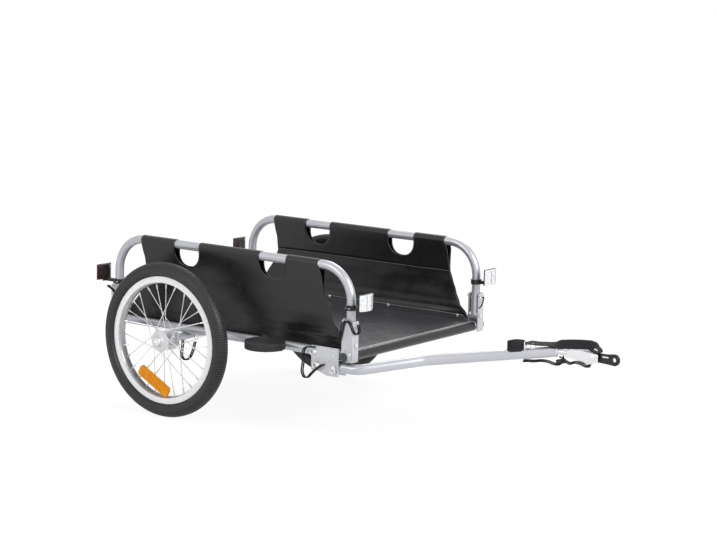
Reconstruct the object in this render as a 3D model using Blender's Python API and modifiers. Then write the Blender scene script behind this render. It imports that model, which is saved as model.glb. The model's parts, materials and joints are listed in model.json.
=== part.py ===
"""Two-wheeled cargo trailer for a bicycle.

A tube frame on two spoked wheels carries a fabric sling between two side hoops, which fold
inwards on hinges in the corner brackets. A bent tow arm leaves the front right corner and
ends in a hitch. +X points forwards, +Y to the trailer's left, and the ground is at z = 0.
"""

import math

import bmesh
import bpy
from mathutils import Matrix, Vector

# Frame
BED_LENGTH = 0.7268          # between the centres of the front and rear cross tubes
RAIL_SPAN = 0.5366           # between the centres of the two lower rails
RAIL_RISE = 0.0183           # centre of the lower frame tubes above the wheels' axle
TUBE_RADIUS = 0.0110
TUBE_WALL = 0.0015
CROSS_TUBE_OVERHANG = 0.0257  # past the rail's centre at each end
CLEARANCE = 0.0003           # between pieces that touch

# Side hoops and their corner brackets
HOOP_RISE = 0.1807           # centre of the top rail above the hinge
HOOP_BEND_SHARE = 0.451      # centreline radius of the two top corners, as a share of that rise
HINGE_RISE = 0.0275          # hinge above the centre of the lower tubes
BARREL_RADIUS = 0.0105
BARREL_LENGTH = 0.0250
HINGE_PIN_RADIUS = 0.0040
BRACKET_INNER_WIDTH = 0.0260
BRACKET_WALL = 0.0025
BRACKET_DEPTH = 0.0248       # from the outer face of the web to the open edge
BRACKET_TOP = 0.0842         # above the centre of the lower tubes
BRACKET_DROP = 0.0135        # below the centre of the lower tubes
WEB_GAP = 0.0010             # between a hoop leg and the web behind it
LOCK_PIN_RISE = 0.0732       # lock pin above the centre of the lower tubes
LOCK_PIN_RADIUS = 0.0030

# Fabric
FABRIC = 0.0020
SLEEVE_WALL = 0.0015
PANEL_BOTTOM_RISE = 0.0057   # lower edge of the side panels above the hinge
PANEL_FRONT_EDGE = (         # (x, share of the panel's height), from the top rail down
    (0.2700, 1.000),
    (0.2780, 0.949),
    (0.2830, 0.634),
    (0.2920, 0.406),
    (0.3020, 0.269),
    (0.3180, 0.114),
    (0.3400, 0.000),
)
PANEL_REAR_EDGE = (
    (-0.2810, 1.000),
    (-0.2820, 0.949),
    (-0.2750, 0.749),
    (-0.2740, 0.549),
    (-0.2840, 0.377),
    (-0.3050, 0.183),
    (-0.3400, 0.000),
)
HAND_HOLE_CENTRES = (-0.1430, 0.1270)
HAND_HOLE_WIDTH = 0.0970
FLOOR_LIP_HEIGHT = 0.0140
FLOOR_LIP_HALF_LENGTH = 0.3400

# Wheels
WHEEL_X = -0.1438            # axle from the middle of the bed
TRACK = 0.6860               # between the wheels' middle planes
TYRE_RADIUS = 0.1925
TYRE_WIDTH = 0.0410
TYRE_WALL = 0.0030
RIM_RADIUS = 0.1585
RIM_WIDTH = 0.0250
RIM_DEPTH = 0.0185
RIM_WALL = 0.0020
BEAD_DEPTH = 0.0060          # how far the tyre reaches into the rim
HUB_RADIUS = 0.0150
HUB_LENGTH = 0.0560
FLANGE_RADIUS = 0.0270
FLANGE_THICKNESS = 0.0030
FLANGE_SPACING = 0.0400
SPOKE_COUNT = 28
SPOKE_RADIUS = 0.0011
SPOKE_SWEEP = 62.0           # degrees a spoke leads or trails the radial line at the hub
AXLE_RADIUS = 0.0050
AXLE_CAP_RADIUS = 0.0100
AXLE_CAP_LENGTH = 0.0060
SPOKE_REFLECTOR_LENGTH = 0.1050
SPOKE_REFLECTOR_WIDTH = 0.0300
SPOKE_REFLECTOR_THICKNESS = 0.0060
SPOKE_REFLECTOR_RADIUS = 0.1067
SPOKE_REFLECTOR_OFFSET = 0.0145  # its middle outside the wheel's middle plane
SPOKE_CLIP_LENGTH = 0.0560
SPOKE_CLIP_WIDTH = 0.0120
SPOKE_CLIP_DEPTH = 0.0125

# Axle beam and the pins that hold the wheels' axles in it
BEAM_RADIUS = 0.0090
BEAM_WALL = 0.0036
AXLE_REACH = 0.2180          # inner end of a wheel's axle from the middle of the beam
RELEASE_PIN_RADIUS = 0.0025
RELEASE_PIN_INSET = 0.0220   # release pin from the inner end of the axle

# Bumper rollers
ROLLER_RADIUS = 0.0500
ROLLER_RIM_HEIGHT = 0.0190
ROLLER_CONE_HEIGHT = 0.0110
ROLLER_X = 0.1585
ROLLER_GAP = 0.0027          # between the roller and the rail
ROLLER_DROP = 0.0003         # underside below the centre of the rail
SPINDLE_RADIUS = 0.0050

# Reflectors: reach from the leg's axis to the middle, place of the clamp as a share of the leg's
# straight part above the bracket, and rise of the middle above the clamp
REFLECTOR_WIDTH = 0.0520
REFLECTOR_HEIGHT = 0.0400
REFLECTOR_THICKNESS = 0.0100
CLAMP_WALL = 0.0022
CLAMP_HEIGHT = 0.0120
CLAMP_ARM = 0.0080
REFLECTORS = {
    "front_right": (0.0436, 0.814, 0.0170),
    "front_left": (0.0436, 0.746, 0.0170),
    "rear_right": (0.0520, 0.102, 0.0185),
    "rear_left": (0.0450, 0.542, 0.0185),
}

# Tow arm and its bracket
ARM_RADIUS = 0.0127
ARM_WALL = 0.0020
ARM_DROP = 0.0313            # arm's axis in the bracket below the centre of the rail
ARM_BEND = 0.0450
TOW_BRACKET_SETBACK = 0.0224  # its front edge behind the centre of the front cross tube
TOW_BRACKET_LENGTH = 0.0800
PIVOT_INSET = 0.0205         # arm's pivot ahead of the bracket's rear edge
LOCK_SPACING = 0.0465        # from the arm's pivot to its lock pin
BRACKET_PIN_INSET = 0.0113   # pin through the rail ahead of the bracket's rear edge
KNEE_REACH = Vector((0.0450, 0.0, 0.0))         # first bend, from the arm's axis at the bracket's front
ELBOW_REACH = Vector((0.1550, 0.1183, 0.0213))  # second bend
TIP_REACH = Vector((0.4366, 0.2483, 0.0627))
PLATE = 0.0025
PLATE_GAP = 0.0005
TOW_PIN_RADIUS = 0.0040
BRACKET_PIN_RADIUS = 0.0030

# Hitch
STUD_RADIUS = 0.0065
STUD_LENGTH = 0.0480
YOKE_START = 0.0350          # past the end of the arm
YOKE_BLOCK = 0.0340
YOKE_LENGTH = 0.0800
YOKE_WIDTH = 0.0240
YOKE_HEIGHT = 0.0180
CHEEK = 0.0030
COUPLER_THICKNESS = 0.0060
COUPLER_PIVOT = 0.1010       # past the end of the arm
COUPLER_HOLE = 0.1530
COUPLER_HOLE_RADIUS = 0.0052
COUPLER_HEIGHT = 0.0180
COUPLER_EYE_RADIUS = 0.0115
STRAP_THICKNESS = 0.0030
STRAP_COLLAR_WIDTH = 0.0380
STRAP_COLLAR_PLACE = 0.68    # share of the way from the arm's elbow to its tip
STRAP_REACH = 0.1120         # front end of the band past the end of the arm
STRAP_BAND = (               # share of the band's length, heights of its edges above the arm
    (-0.0860, 0.0010, 0.0260),
    (0.0860, 0.0010, 0.0280),
    (0.4000, 0.0130, 0.0210),
    (0.6200, 0.0200, 0.0320),
    (0.9500, 0.0210, 0.0330),
)
END_PLUG_DEPTH = 0.0200
END_PLUG_LIP = 0.0020

# Tethers of the pins. Each route is given from the place that its table row names.
TETHER_RADIUS = 0.0018
TETHER_STEP = 0.0072
FRONT_LOCK_TETHER = (        # from the lock pin's middle
    (-0.0190, -0.0172, -0.0400),
    (-0.0148, -0.0172, -0.0270),
    (-0.0118, -0.0172, -0.0140),
    (-0.0094, -0.0172, -0.0010),
    (-0.0036, -0.0176, 0.0098),
    (0.0060, -0.0178, 0.0122),
    (0.0140, -0.0174, 0.0054),
    (0.0188, -0.0160, -0.0060),
    (0.0222, -0.0122, -0.0150),
    (0.0246, -0.0046, -0.0176),
    (0.0246, 0.0030, -0.0130),
    (0.0222, 0.0058, -0.0046),
    (0.0206, 0.0044, 0.0036),
)
REAR_LOCK_TETHER = (
    (0.0084, -0.0170, -0.0320),
    (0.0066, -0.0170, -0.0210),
    (0.0041, -0.0171, -0.0099),
    (-0.0021, -0.0204, 0.0011),
    (-0.0107, -0.0226, 0.0065),
    (-0.0191, -0.0188, 0.0082),
    (-0.0219, -0.0123, 0.0079),
)
WHEEL_RELEASE_TETHER = (     # from the release pin's middle
    (0.0000, -0.0340, -0.0098),
    (0.0000, -0.0352, -0.0250),
    (-0.0004, -0.0372, -0.0390),
    (0.0002, -0.0372, -0.0505),
    (0.0056, -0.0326, -0.0592),
    (0.0128, -0.0244, -0.0560),
    (0.0152, -0.0160, -0.0430),
    (0.0142, -0.0080, -0.0280),
    (0.0133, -0.0025, -0.0167),
)
BRACKET_TETHER = (           # from the rail's centre at the rear edge of the tow bracket
    (0.0120, -0.0172, 0.0112),
    (0.0074, -0.0222, 0.0118),
    (-0.0010, -0.0260, 0.0116),
    (-0.0086, -0.0266, 0.0076),
    (-0.0132, -0.0260, -0.0004),
    (-0.0142, -0.0252, -0.0100),
    (-0.0140, -0.0245, -0.0220),
    (-0.0165, -0.0240, -0.0380),
    (-0.0172, -0.0240, -0.0510),
    (-0.0110, -0.0240, -0.0620),
    (0.0000, -0.0245, -0.0616),
    (0.0104, -0.0262, -0.0520),
    (0.0230, -0.0270, -0.0404),
    (0.0345, -0.0240, -0.0312),
    (0.0396, -0.0175, -0.0262),
)
HITCH_TETHER = (             # along the arm's end, to the left of it, and above it, from the tip
    (-0.0806, 0.0000, -0.0152),
    (-0.0700, 0.0000, -0.0155),
    (-0.0550, 0.0000, -0.0175),
    (-0.0380, 0.0000, -0.0175),
    (-0.0220, 0.0000, -0.0210),
    (-0.0080, 0.0000, -0.0275),
    (0.0050, -0.0020, -0.0280),
    (0.0140, -0.0045, -0.0200),
    (0.0140, -0.0062, -0.0100),
)

# Values that follow from the ones above
HALF_BED = BED_LENGTH / 2
RAIL_Y = RAIL_SPAN / 2
RAIL_HEIGHT = TYRE_RADIUS + RAIL_RISE
HINGE_Z = RAIL_HEIGHT + HINGE_RISE
HOOP_HEIGHT = HINGE_Z + HOOP_RISE
HOOP_BEND = HOOP_BEND_SHARE * HOOP_RISE
PANEL_BOTTOM = HINGE_Z + PANEL_BOTTOM_RISE
LOCK_PIN_Z = RAIL_HEIGHT + LOCK_PIN_RISE
AXLE_Z = TYRE_RADIUS
WHEEL_Y = TRACK / 2
RELEASE_PIN_Y = AXLE_REACH + RELEASE_PIN_INSET
ROLLER_BOTTOM = RAIL_HEIGHT - ROLLER_DROP
CLAMP_LOWEST = RAIL_HEIGHT + BRACKET_TOP + 0.0010 + CLAMP_HEIGHT / 2
CLAMP_HIGHEST = HOOP_HEIGHT - HOOP_BEND - CLAMP_HEIGHT / 2
BRACKET_HALF_WIDTH = BRACKET_INNER_WIDTH / 2 + BRACKET_WALL
WEB_INNER = TUBE_RADIUS + WEB_GAP
WEB_OUTER = WEB_INNER + BRACKET_WALL
PLATE_FRONT_X = HALF_BED - TOW_BRACKET_SETBACK
PLATE_BACK_X = PLATE_FRONT_X - TOW_BRACKET_LENGTH
PIVOT_X = PLATE_BACK_X + PIVOT_INSET
LOCK_X = PIVOT_X + LOCK_SPACING
BRACKET_PIN_X = PLATE_BACK_X + BRACKET_PIN_INSET
ARM_AXIS = Vector((0.0, -RAIL_Y, RAIL_HEIGHT - ARM_DROP))
ARM_FRONT = ARM_AXIS + Vector((PLATE_FRONT_X, 0.0, 0.0))
ARM_KNEE = ARM_FRONT + KNEE_REACH
ARM_ELBOW = ARM_FRONT + ELBOW_REACH
ARM_TIP = ARM_FRONT + TIP_REACH
TUBE_TOP = RAIL_HEIGHT + TUBE_RADIUS
FLOOR_Z = TUBE_TOP + CLEARANCE
FLOOR_HALF_WIDTH = RAIL_Y - TUBE_RADIUS - SLEEVE_WALL
SLEEVE_RADIUS = TUBE_RADIUS + CLEARANCE + SLEEVE_WALL
FRONT_REACH = ARM_TIP.x + COUPLER_HOLE + COUPLER_EYE_RADIUS
REAR_REACH = HALF_BED + max(
    REFLECTORS[corner][0] for corner in ("rear_right", "rear_left")
) + REFLECTOR_THICKNESS / 2
SIDES = {"right": -1, "left": 1}
ENDS = {"front": 1, "rear": -1}

X_AXIS = Vector((1.0, 0.0, 0.0))
Y_AXIS = Vector((0.0, 1.0, 0.0))
Z_AXIS = Vector((0.0, 0.0, 1.0))


def clear_scene():
    for thing in list(bpy.data.objects):
        bpy.data.objects.remove(thing, do_unlink=True)


def new_collection(name):
    made = bpy.data.collections.new(name)
    bpy.context.scene.collection.children.link(made)
    return made


def finish_material(name, colour, roughness, metallic=0.0):
    made = bpy.data.materials.new(name)
    made.use_nodes = True
    shader = made.node_tree.nodes["Principled BSDF"]
    shader.inputs["Base Color"].default_value = (*colour, 1.0)
    shader.inputs["Roughness"].default_value = roughness
    shader.inputs["Metallic"].default_value = metallic
    return made


clear_scene()
PARTS = new_collection("bicycle_trailer")
CUTTERS = new_collection("cutters")

SILVER = finish_material("silver_paint", (0.62, 0.63, 0.66), 0.35, 0.8)
ZINC = finish_material("bright_zinc", (0.78, 0.78, 0.80), 0.22, 1.0)
BLACK_PLASTIC = finish_material("black_plastic", (0.02, 0.02, 0.022), 0.45)
BLACK_STEEL = finish_material("black_steel", (0.02, 0.02, 0.02), 0.4, 0.5)
RUBBER = finish_material("tyre_rubber", (0.025, 0.025, 0.027), 0.75)
RIM_WHITE = finish_material("rim", (0.80, 0.80, 0.82), 0.3, 0.6)
SPOKE_STEEL = finish_material("spoke_steel", (0.72, 0.72, 0.74), 0.25, 1.0)
FABRIC_BLACK = finish_material("coated_fabric", (0.03, 0.03, 0.032), 0.5)
WEBBING = finish_material("webbing", (0.02, 0.02, 0.022), 0.85)
CORD_BLACK = finish_material("black_cord", (0.02, 0.02, 0.022), 0.6)
WHITE_LENS = finish_material("white_lens", (0.85, 0.86, 0.88), 0.12)
RED_LENS = finish_material("red_lens", (0.45, 0.01, 0.01), 0.12)
ORANGE_LENS = finish_material("orange_lens", (0.95, 0.35, 0.02), 0.15)

# The bed is modelled about its own middle, and this empty moves the whole trailer so that the
# origin lies on the ground below the middle of its outline.
BASE = bpy.data.objects.new("trailer_base", None)
BASE.location = (-(FRONT_REACH - REAR_REACH) / 2, 0.0, 0.0)
PARTS.objects.link(BASE)


def pivot(name, place):
    """An empty on a joint's axis, which carries the pieces that turn or slide there."""
    made = bpy.data.objects.new(name, None)
    made.parent = BASE
    made.location = place
    PARTS.objects.link(made)
    return made


def keep(thing, material, carrier=None):
    """Puts a finished piece, whose place is in bed coordinates, under its carrier."""
    thing.data.materials.clear()
    thing.data.materials.append(material)
    for collection in list(thing.users_collection):
        collection.objects.unlink(thing)
    PARTS.objects.link(thing)
    if carrier is None:
        thing.parent = BASE
    else:
        thing.parent = carrier
        thing.location = thing.location - carrier.location
    if thing.type == "MESH":
        thing.data.shade_smooth()
        thing.data.set_sharp_from_angle(angle=math.radians(35))
    return thing


def as_cutter(thing):
    for collection in list(thing.users_collection):
        collection.objects.unlink(thing)
    CUTTERS.objects.link(thing)
    thing.parent = BASE
    thing.hide_render = True
    thing.display_type = "WIRE"
    return thing


def mesh_object(name, shape):
    data = bpy.data.meshes.new(name)
    shape.to_mesh(data)
    shape.free()
    made = bpy.data.objects.new(name, data)
    PARTS.objects.link(made)
    return made


def box(name, low, high):
    """A box between two corners."""
    low, high = Vector(low), Vector(high)
    shape = bmesh.new()
    bmesh.ops.create_cube(shape, size=1.0)
    bmesh.ops.scale(shape, vec=high - low, verts=shape.verts)
    made = mesh_object(name, shape)
    made.location = (low + high) / 2
    return made


def turn_to(axis):
    return Z_AXIS.rotation_difference(Vector(axis)).to_matrix().to_4x4()


def rod(name, start, end, radius, sides=16, end_radius=None):
    """A round bar or cone between two points."""
    start, end = Vector(start), Vector(end)
    shape = bmesh.new()
    bmesh.ops.create_cone(
        shape,
        cap_ends=True,
        segments=sides,
        radius1=radius,
        radius2=radius if end_radius is None else end_radius,
        depth=(end - start).length,
    )
    bmesh.ops.transform(shape, matrix=turn_to(end - start), verts=shape.verts)
    made = mesh_object(name, shape)
    made.location = (start + end) / 2
    return made


def boolean(target, other, operation):
    step = target.modifiers.new(operation.lower(), "BOOLEAN")
    step.operation = operation
    step.object = as_cutter(other)
    step.solver = "EXACT"
    return target


def join(target, *others):
    for other in others:
        boolean(target, other, "UNION")
    return target


def cut(target, *others):
    for other in others:
        boolean(target, other, "DIFFERENCE")
    return target


def rounded_path(points, radius, steps=6):
    """The points with each corner replaced by an arc."""
    points = [Vector(point) for point in points]
    path = [points[0]]
    for before, corner, after in zip(points, points[1:], points[2:]):
        back = (before - corner).normalized()
        ahead = (after - corner).normalized()
        half = back.angle(ahead) / 2
        setback = radius / math.tan(half)
        centre = corner + (back + ahead).normalized() * (radius / math.sin(half))
        first = corner + back * setback - centre
        last = corner + ahead * setback - centre
        turn = first.angle(last)
        axis = first.cross(last).normalized()
        for step in range(steps + 1):
            path.append(centre + Matrix.Rotation(turn * step / steps, 3, axis) @ first)
    path.append(points[-1])
    return path


def curve_object(name, path, radius, capped, resolution=4):
    data = bpy.data.curves.new(name, "CURVE")
    data.dimensions = "3D"
    data.bevel_depth = radius
    data.bevel_resolution = resolution
    data.use_fill_caps = capped
    spline = data.splines.new("POLY")
    spline.points.add(len(path) - 1)
    for point, place in zip(spline.points, path):
        point.co = (*place, 1.0)
    made = bpy.data.objects.new(name, data)
    PARTS.objects.link(made)
    return made


def to_mesh(thing):
    """A mesh object in place of a curve, with its caps welded on."""
    bpy.context.view_layer.update()
    graph = bpy.context.evaluated_depsgraph_get()
    data = bpy.data.meshes.new_from_object(thing.evaluated_get(graph))
    shape = bmesh.new()
    shape.from_mesh(data)
    bmesh.ops.remove_doubles(shape, verts=shape.verts, dist=1e-6)
    bmesh.ops.recalc_face_normals(shape, faces=shape.faces)
    shape.to_mesh(data)
    shape.free()
    made = bpy.data.objects.new(thing.name, data)
    made.matrix_world = thing.matrix_world
    name = thing.name
    bpy.data.objects.remove(thing, do_unlink=True)
    made.name = name
    data.name = name
    PARTS.objects.link(made)
    return made


def pipe(name, path, radius, wall):
    """A hollow tube with open ends."""
    made = to_mesh(curve_object(name, path, radius, capped=False))
    skin = made.modifiers.new("wall", "SOLIDIFY")
    skin.thickness = wall
    skin.offset = -1.0
    skin.use_even_offset = True
    return made


def flat_shape(name, outline, thickness, holes=()):
    """A plate from a closed outline in its own XY plane, centred on that plane."""
    data = bpy.data.curves.new(name, "CURVE")
    data.dimensions = "2D"
    data.fill_mode = "BOTH"
    data.extrude = thickness / 2
    for loop in (outline, *holes):
        spline = data.splines.new("POLY")
        spline.points.add(len(loop) - 1)
        for point, (across, up) in zip(spline.points, loop):
            point.co = (across, up, 0.0, 1.0)
        spline.use_cyclic_u = True
    made = bpy.data.objects.new(name, data)
    PARTS.objects.link(made)
    return made


def upright(name, outline, thickness, y, holes=()):
    """A plate whose outline lies in a plane of constant y, with its points as (x, z)."""
    made = flat_shape(name, outline, thickness, holes)
    made.rotation_euler = (math.pi / 2, 0.0, 0.0)
    made.location = (0.0, y, 0.0)
    return to_mesh(made)


def turned(name, profile, place, axis=Y_AXIS, steps=32):
    """A solid of revolution from (radius, height) points that run down its outer side."""
    shape = bmesh.new()
    points = [shape.verts.new((radius, 0.0, height)) for radius, height in profile]
    for first, second in zip(points, points[1:]):
        shape.edges.new((first, second))
    if profile[0][0] > 0.0:
        shape.edges.new((points[-1], points[0]))
    made = mesh_object(name, shape)
    spin = made.modifiers.new("turn", "SCREW")
    spin.axis = "Z"
    spin.angle = 2 * math.pi
    spin.steps = steps
    spin.render_steps = steps
    spin.use_merge_vertices = True
    spin.merge_threshold = 1e-5
    bpy.context.view_layer.update()
    graph = bpy.context.evaluated_depsgraph_get()
    data = bpy.data.meshes.new_from_object(made.evaluated_get(graph))
    made.modifiers.clear()
    data.transform(turn_to(axis))
    made.data = data
    made.location = place
    return made


def arc(centre, radius, start, end, steps):
    """Points on a circle, with the angles in degrees."""
    points = []
    for step in range(steps + 1):
        angle = math.radians(start + (end - start) * step / steps)
        points.append((centre[0] + radius * math.cos(angle), centre[1] + radius * math.sin(angle)))
    return points


def pull_pin(name, tip, head, radius, head_radius, ring_radius, ring_side, carrier):
    """A straight pin with a flat head and a pull ring standing on it. The tip and the head's
    underside are given, and ring_side is the direction in which the ring stands."""
    tip, head, ring_side = Vector(tip), Vector(head), Vector(ring_side)
    along = (head - tip).normalized()
    head_thickness = 0.9 * radius
    ring_wire = 0.35 * radius
    outer = head + along * head_thickness
    eye = outer + along * ring_wire
    ring = bpy.data.curves.new(name + "_ring", "CURVE")
    ring.dimensions = "3D"
    ring.bevel_depth = ring_wire
    ring.bevel_resolution = 0
    spline = ring.splines.new("POLY")
    turns = 10
    spline.points.add(turns - 1)
    centre = eye + ring_side * (ring_radius - ring_wire)
    across = along.cross(ring_side)
    for step, point in enumerate(spline.points):
        angle = 2 * math.pi * step / turns
        place = centre + ring_radius * (math.cos(angle) * ring_side + math.sin(angle) * across)
        point.co = (*place, 1.0)
    spline.use_cyclic_u = True
    loop = bpy.data.objects.new(name + "_ring", ring)
    PARTS.objects.link(loop)
    made = rod(name, tip, head + along * head_thickness / 2, radius, 12)
    cap = rod(name + "_head", head, outer + along * ring_wire, head_radius, 12)
    join(made, cap, to_mesh(loop))
    return keep(made, ZINC, carrier)


def cross_tube(name, x):
    reach = RAIL_Y + CROSS_TUBE_OVERHANG
    path = [(x, -reach, RAIL_HEIGHT), (x, reach, RAIL_HEIGHT)]
    return keep(pipe(name, path, TUBE_RADIUS, TUBE_WALL), SILVER)


def tube_plug(name, x, side):
    """A push-in cap: a head on the tube's end and a stem inside its bore."""
    head = 0.0030
    stem = 0.0120
    bore = TUBE_RADIUS - TUBE_WALL - 3 * CLEARANCE
    profile = [
        (0.0, head),
        (TUBE_RADIUS - 0.0012, head),
        (TUBE_RADIUS, head - 0.0012),
        (TUBE_RADIUS, 0.0),
        (bore, 0.0),
        (bore, -stem),
        (0.0, -stem),
    ]
    end = side * (RAIL_Y + CROSS_TUBE_OVERHANG + CLEARANCE)
    made = turned(name, profile, (x, end, RAIL_HEIGHT), Y_AXIS * side, 16)
    return keep(made, BLACK_PLASTIC)


def frame_tubes():
    for end, way in ENDS.items():
        cross_tube(f"{end}_cross_tube", way * HALF_BED)
        for side, hand in SIDES.items():
            tube_plug(f"{end}_{side}_tube_plug", way * HALF_BED, hand)
    rail_end = HALF_BED - BRACKET_HALF_WIDTH - CLEARANCE
    for side, hand in SIDES.items():
        path = [(-rail_end, hand * RAIL_Y, RAIL_HEIGHT), (rail_end, hand * RAIL_Y, RAIL_HEIGHT)]
        keep(pipe(f"{side}_side_rail", path, TUBE_RADIUS, TUBE_WALL), SILVER)


def fold_bracket(name, x, hand):
    """A channel, open towards the bed, that straddles the cross tube and holds the hinge pin."""
    web_outer = hand * (RAIL_Y + WEB_OUTER)
    web_inner = hand * (RAIL_Y + WEB_INNER)
    open_edge = web_outer - hand * BRACKET_DEPTH
    low = RAIL_HEIGHT - BRACKET_DROP
    high = RAIL_HEIGHT + BRACKET_TOP
    half = BRACKET_INNER_WIDTH / 2
    outline = [
        (x - BRACKET_HALF_WIDTH, open_edge),
        (x - BRACKET_HALF_WIDTH, web_outer),
        (x + BRACKET_HALF_WIDTH, web_outer),
        (x + BRACKET_HALF_WIDTH, open_edge),
        (x + half, open_edge),
        (x + half, web_inner),
        (x - half, web_inner),
        (x - half, open_edge),
    ]
    channel = flat_shape(name, outline, high - low)
    channel.location = (0.0, 0.0, (high + low) / 2)
    channel = to_mesh(channel)
    tube_hole = rod(
        name + "_tube_hole",
        (x, web_inner - hand * BRACKET_WALL, RAIL_HEIGHT),
        (x, web_outer + hand * BRACKET_WALL, RAIL_HEIGHT),
        TUBE_RADIUS + CLEARANCE,
        16,
    )
    lock_hole = rod(
        name + "_lock_hole",
        (x - 2 * BRACKET_HALF_WIDTH, hand * RAIL_Y, LOCK_PIN_Z),
        (x + 2 * BRACKET_HALF_WIDTH, hand * RAIL_Y, LOCK_PIN_Z),
        LOCK_PIN_RADIUS + CLEARANCE,
        12,
    )
    corner = 0.0140
    chamfer = box(
        name + "_chamfer",
        (-BRACKET_DEPTH, -corner, -corner),
        (BRACKET_DEPTH, corner, corner),
    )
    chamfer.rotation_euler = (math.radians(45), 0.0, 0.0)
    chamfer.location = (x, open_edge - hand * corner * 0.6, high + corner * 0.6)
    cut(channel, tube_hole, lock_hole, chamfer)
    head = 0.0022
    pin = rod(
        name + "_hinge_pin",
        (x - BRACKET_HALF_WIDTH - head, hand * RAIL_Y, HINGE_Z),
        (x + BRACKET_HALF_WIDTH + head, hand * RAIL_Y, HINGE_Z),
        HINGE_PIN_RADIUS,
        16,
    )
    join(channel, pin)
    for way in (-1, 1):
        face = x + way * (BRACKET_HALF_WIDTH - head / 2)
        cap = rod(
            f"{name}_pin_head_{way}",
            (face, hand * RAIL_Y, HINGE_Z),
            (x + way * (BRACKET_HALF_WIDTH + head), hand * RAIL_Y, HINGE_Z),
            1.7 * HINGE_PIN_RADIUS,
            12,
        )
        join(channel, cap)
    return keep(channel, SILVER)


def hoop(side, hand, carrier):
    """A bent tube whose legs end in hinge barrels. A slot in the outer side of each leg lets the
    leg leave its lock pin when the hoop folds."""
    y = hand * RAIL_Y
    corners = [
        (HALF_BED, y, HINGE_Z),
        (HALF_BED, y, HOOP_HEIGHT),
        (-HALF_BED, y, HOOP_HEIGHT),
        (-HALF_BED, y, HINGE_Z),
    ]
    name = f"{side}_hoop"
    made = pipe(name, rounded_path(corners, HOOP_BEND, 5), TUBE_RADIUS, TUBE_WALL)
    slot = LOCK_PIN_RADIUS + 2 * CLEARANCE
    for way in (1, -1):
        x = way * HALF_BED
        barrel = rod(
            f"{name}_barrel_{way}",
            (x - BARREL_LENGTH / 2, y, HINGE_Z),
            (x + BARREL_LENGTH / 2, y, HINGE_Z),
            BARREL_RADIUS,
            20,
        )
        join(made, barrel)
        bore = rod(
            f"{name}_bore_{way}",
            (x - BARREL_LENGTH, y, HINGE_Z),
            (x + BARREL_LENGTH, y, HINGE_Z),
            HINGE_PIN_RADIUS + CLEARANCE,
            16,
        )
        slot_box = box(
            f"{name}_slot_{way}",
            (x - BARREL_LENGTH, min(y, y + hand * 2 * TUBE_RADIUS), LOCK_PIN_Z - slot - 0.0015),
            (x + BARREL_LENGTH, max(y, y + hand * 2 * TUBE_RADIUS), LOCK_PIN_Z + slot),
        )
        slot_end = rod(
            f"{name}_slot_end_{way}",
            (x - BARREL_LENGTH, y, LOCK_PIN_Z),
            (x + BARREL_LENGTH, y, LOCK_PIN_Z),
            slot,
            12,
        )
        cut(made, bore, slot_box, slot_end)
    return keep(made, SILVER, carrier)


def side_panel(side, hand, carrier):
    """The sling's side: a sheet that hangs from sleeves round the top rail."""
    rise = HOOP_HEIGHT - PANEL_BOTTOM
    outline = [(x, PANEL_BOTTOM + share * rise) for x, share in PANEL_FRONT_EDGE + PANEL_REAR_EDGE[::-1]]
    name = f"{side}_side_panel"
    y = hand * RAIL_Y
    made = upright(name, outline, FABRIC, y)
    ends = (PANEL_REAR_EDGE[0][0], PANEL_FRONT_EDGE[0][0])
    sleeve = rod(
        name + "_sleeve", (ends[0], y, HOOP_HEIGHT), (ends[1], y, HOOP_HEIGHT), SLEEVE_RADIUS, 16
    )
    tunnel = rod(
        name + "_tunnel",
        (ends[0] * 1.1, y, HOOP_HEIGHT),
        (ends[1] * 1.1, y, HOOP_HEIGHT),
        TUBE_RADIUS + CLEARANCE,
        16,
    )
    join(made, sleeve)
    cut(made, tunnel)
    for number, centre in enumerate(HAND_HOLE_CENTRES):
        half = HAND_HOLE_WIDTH / 2
        rim = HOOP_HEIGHT - TUBE_RADIUS / 2
        outline = [(centre + half, HOOP_HEIGHT + 2 * TUBE_RADIUS)]
        outline += [(centre - half, HOOP_HEIGHT + 2 * TUBE_RADIUS)]
        outline += arc((centre, rim), half, 180, 360, 10)
        hole = upright(f"{name}_hole_{number}", outline, 6 * TUBE_RADIUS, y)
        cut(made, hole)
    return keep(made, FABRIC_BLACK, carrier)


def floor_panel():
    """The sling's floor: a sheet that wraps the front and rear cross tubes, with turned-up sides."""
    made = box(
        "floor_panel",
        (-HALF_BED, -FLOOR_HALF_WIDTH, FLOOR_Z),
        (HALF_BED, FLOOR_HALF_WIDTH, FLOOR_Z + FABRIC),
    )
    wrap_reach = RAIL_Y + WEB_OUTER - BRACKET_DEPTH - 0.0005
    for side, hand in SIDES.items():
        edge = hand * FLOOR_HALF_WIDTH
        lip = box(
            f"floor_lip_{side}",
            (-FLOOR_LIP_HALF_LENGTH, min(edge, edge - hand * FABRIC), FLOOR_Z),
            (FLOOR_LIP_HALF_LENGTH, max(edge, edge - hand * FABRIC), FLOOR_Z + FLOOR_LIP_HEIGHT),
        )
        join(made, lip)
    for end, way in ENDS.items():
        x = way * HALF_BED
        wrap = rod(
            f"floor_wrap_{end}",
            (x, -wrap_reach, RAIL_HEIGHT),
            (x, wrap_reach, RAIL_HEIGHT),
            SLEEVE_RADIUS,
            20,
        )
        tunnel = rod(
            f"floor_tunnel_{end}",
            (x, -RAIL_Y, RAIL_HEIGHT),
            (x, RAIL_Y, RAIL_HEIGHT),
            TUBE_RADIUS + CLEARANCE,
            20,
        )
        join(made, wrap)
        cut(made, tunnel)
    return keep(made, FABRIC_BLACK)


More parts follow.
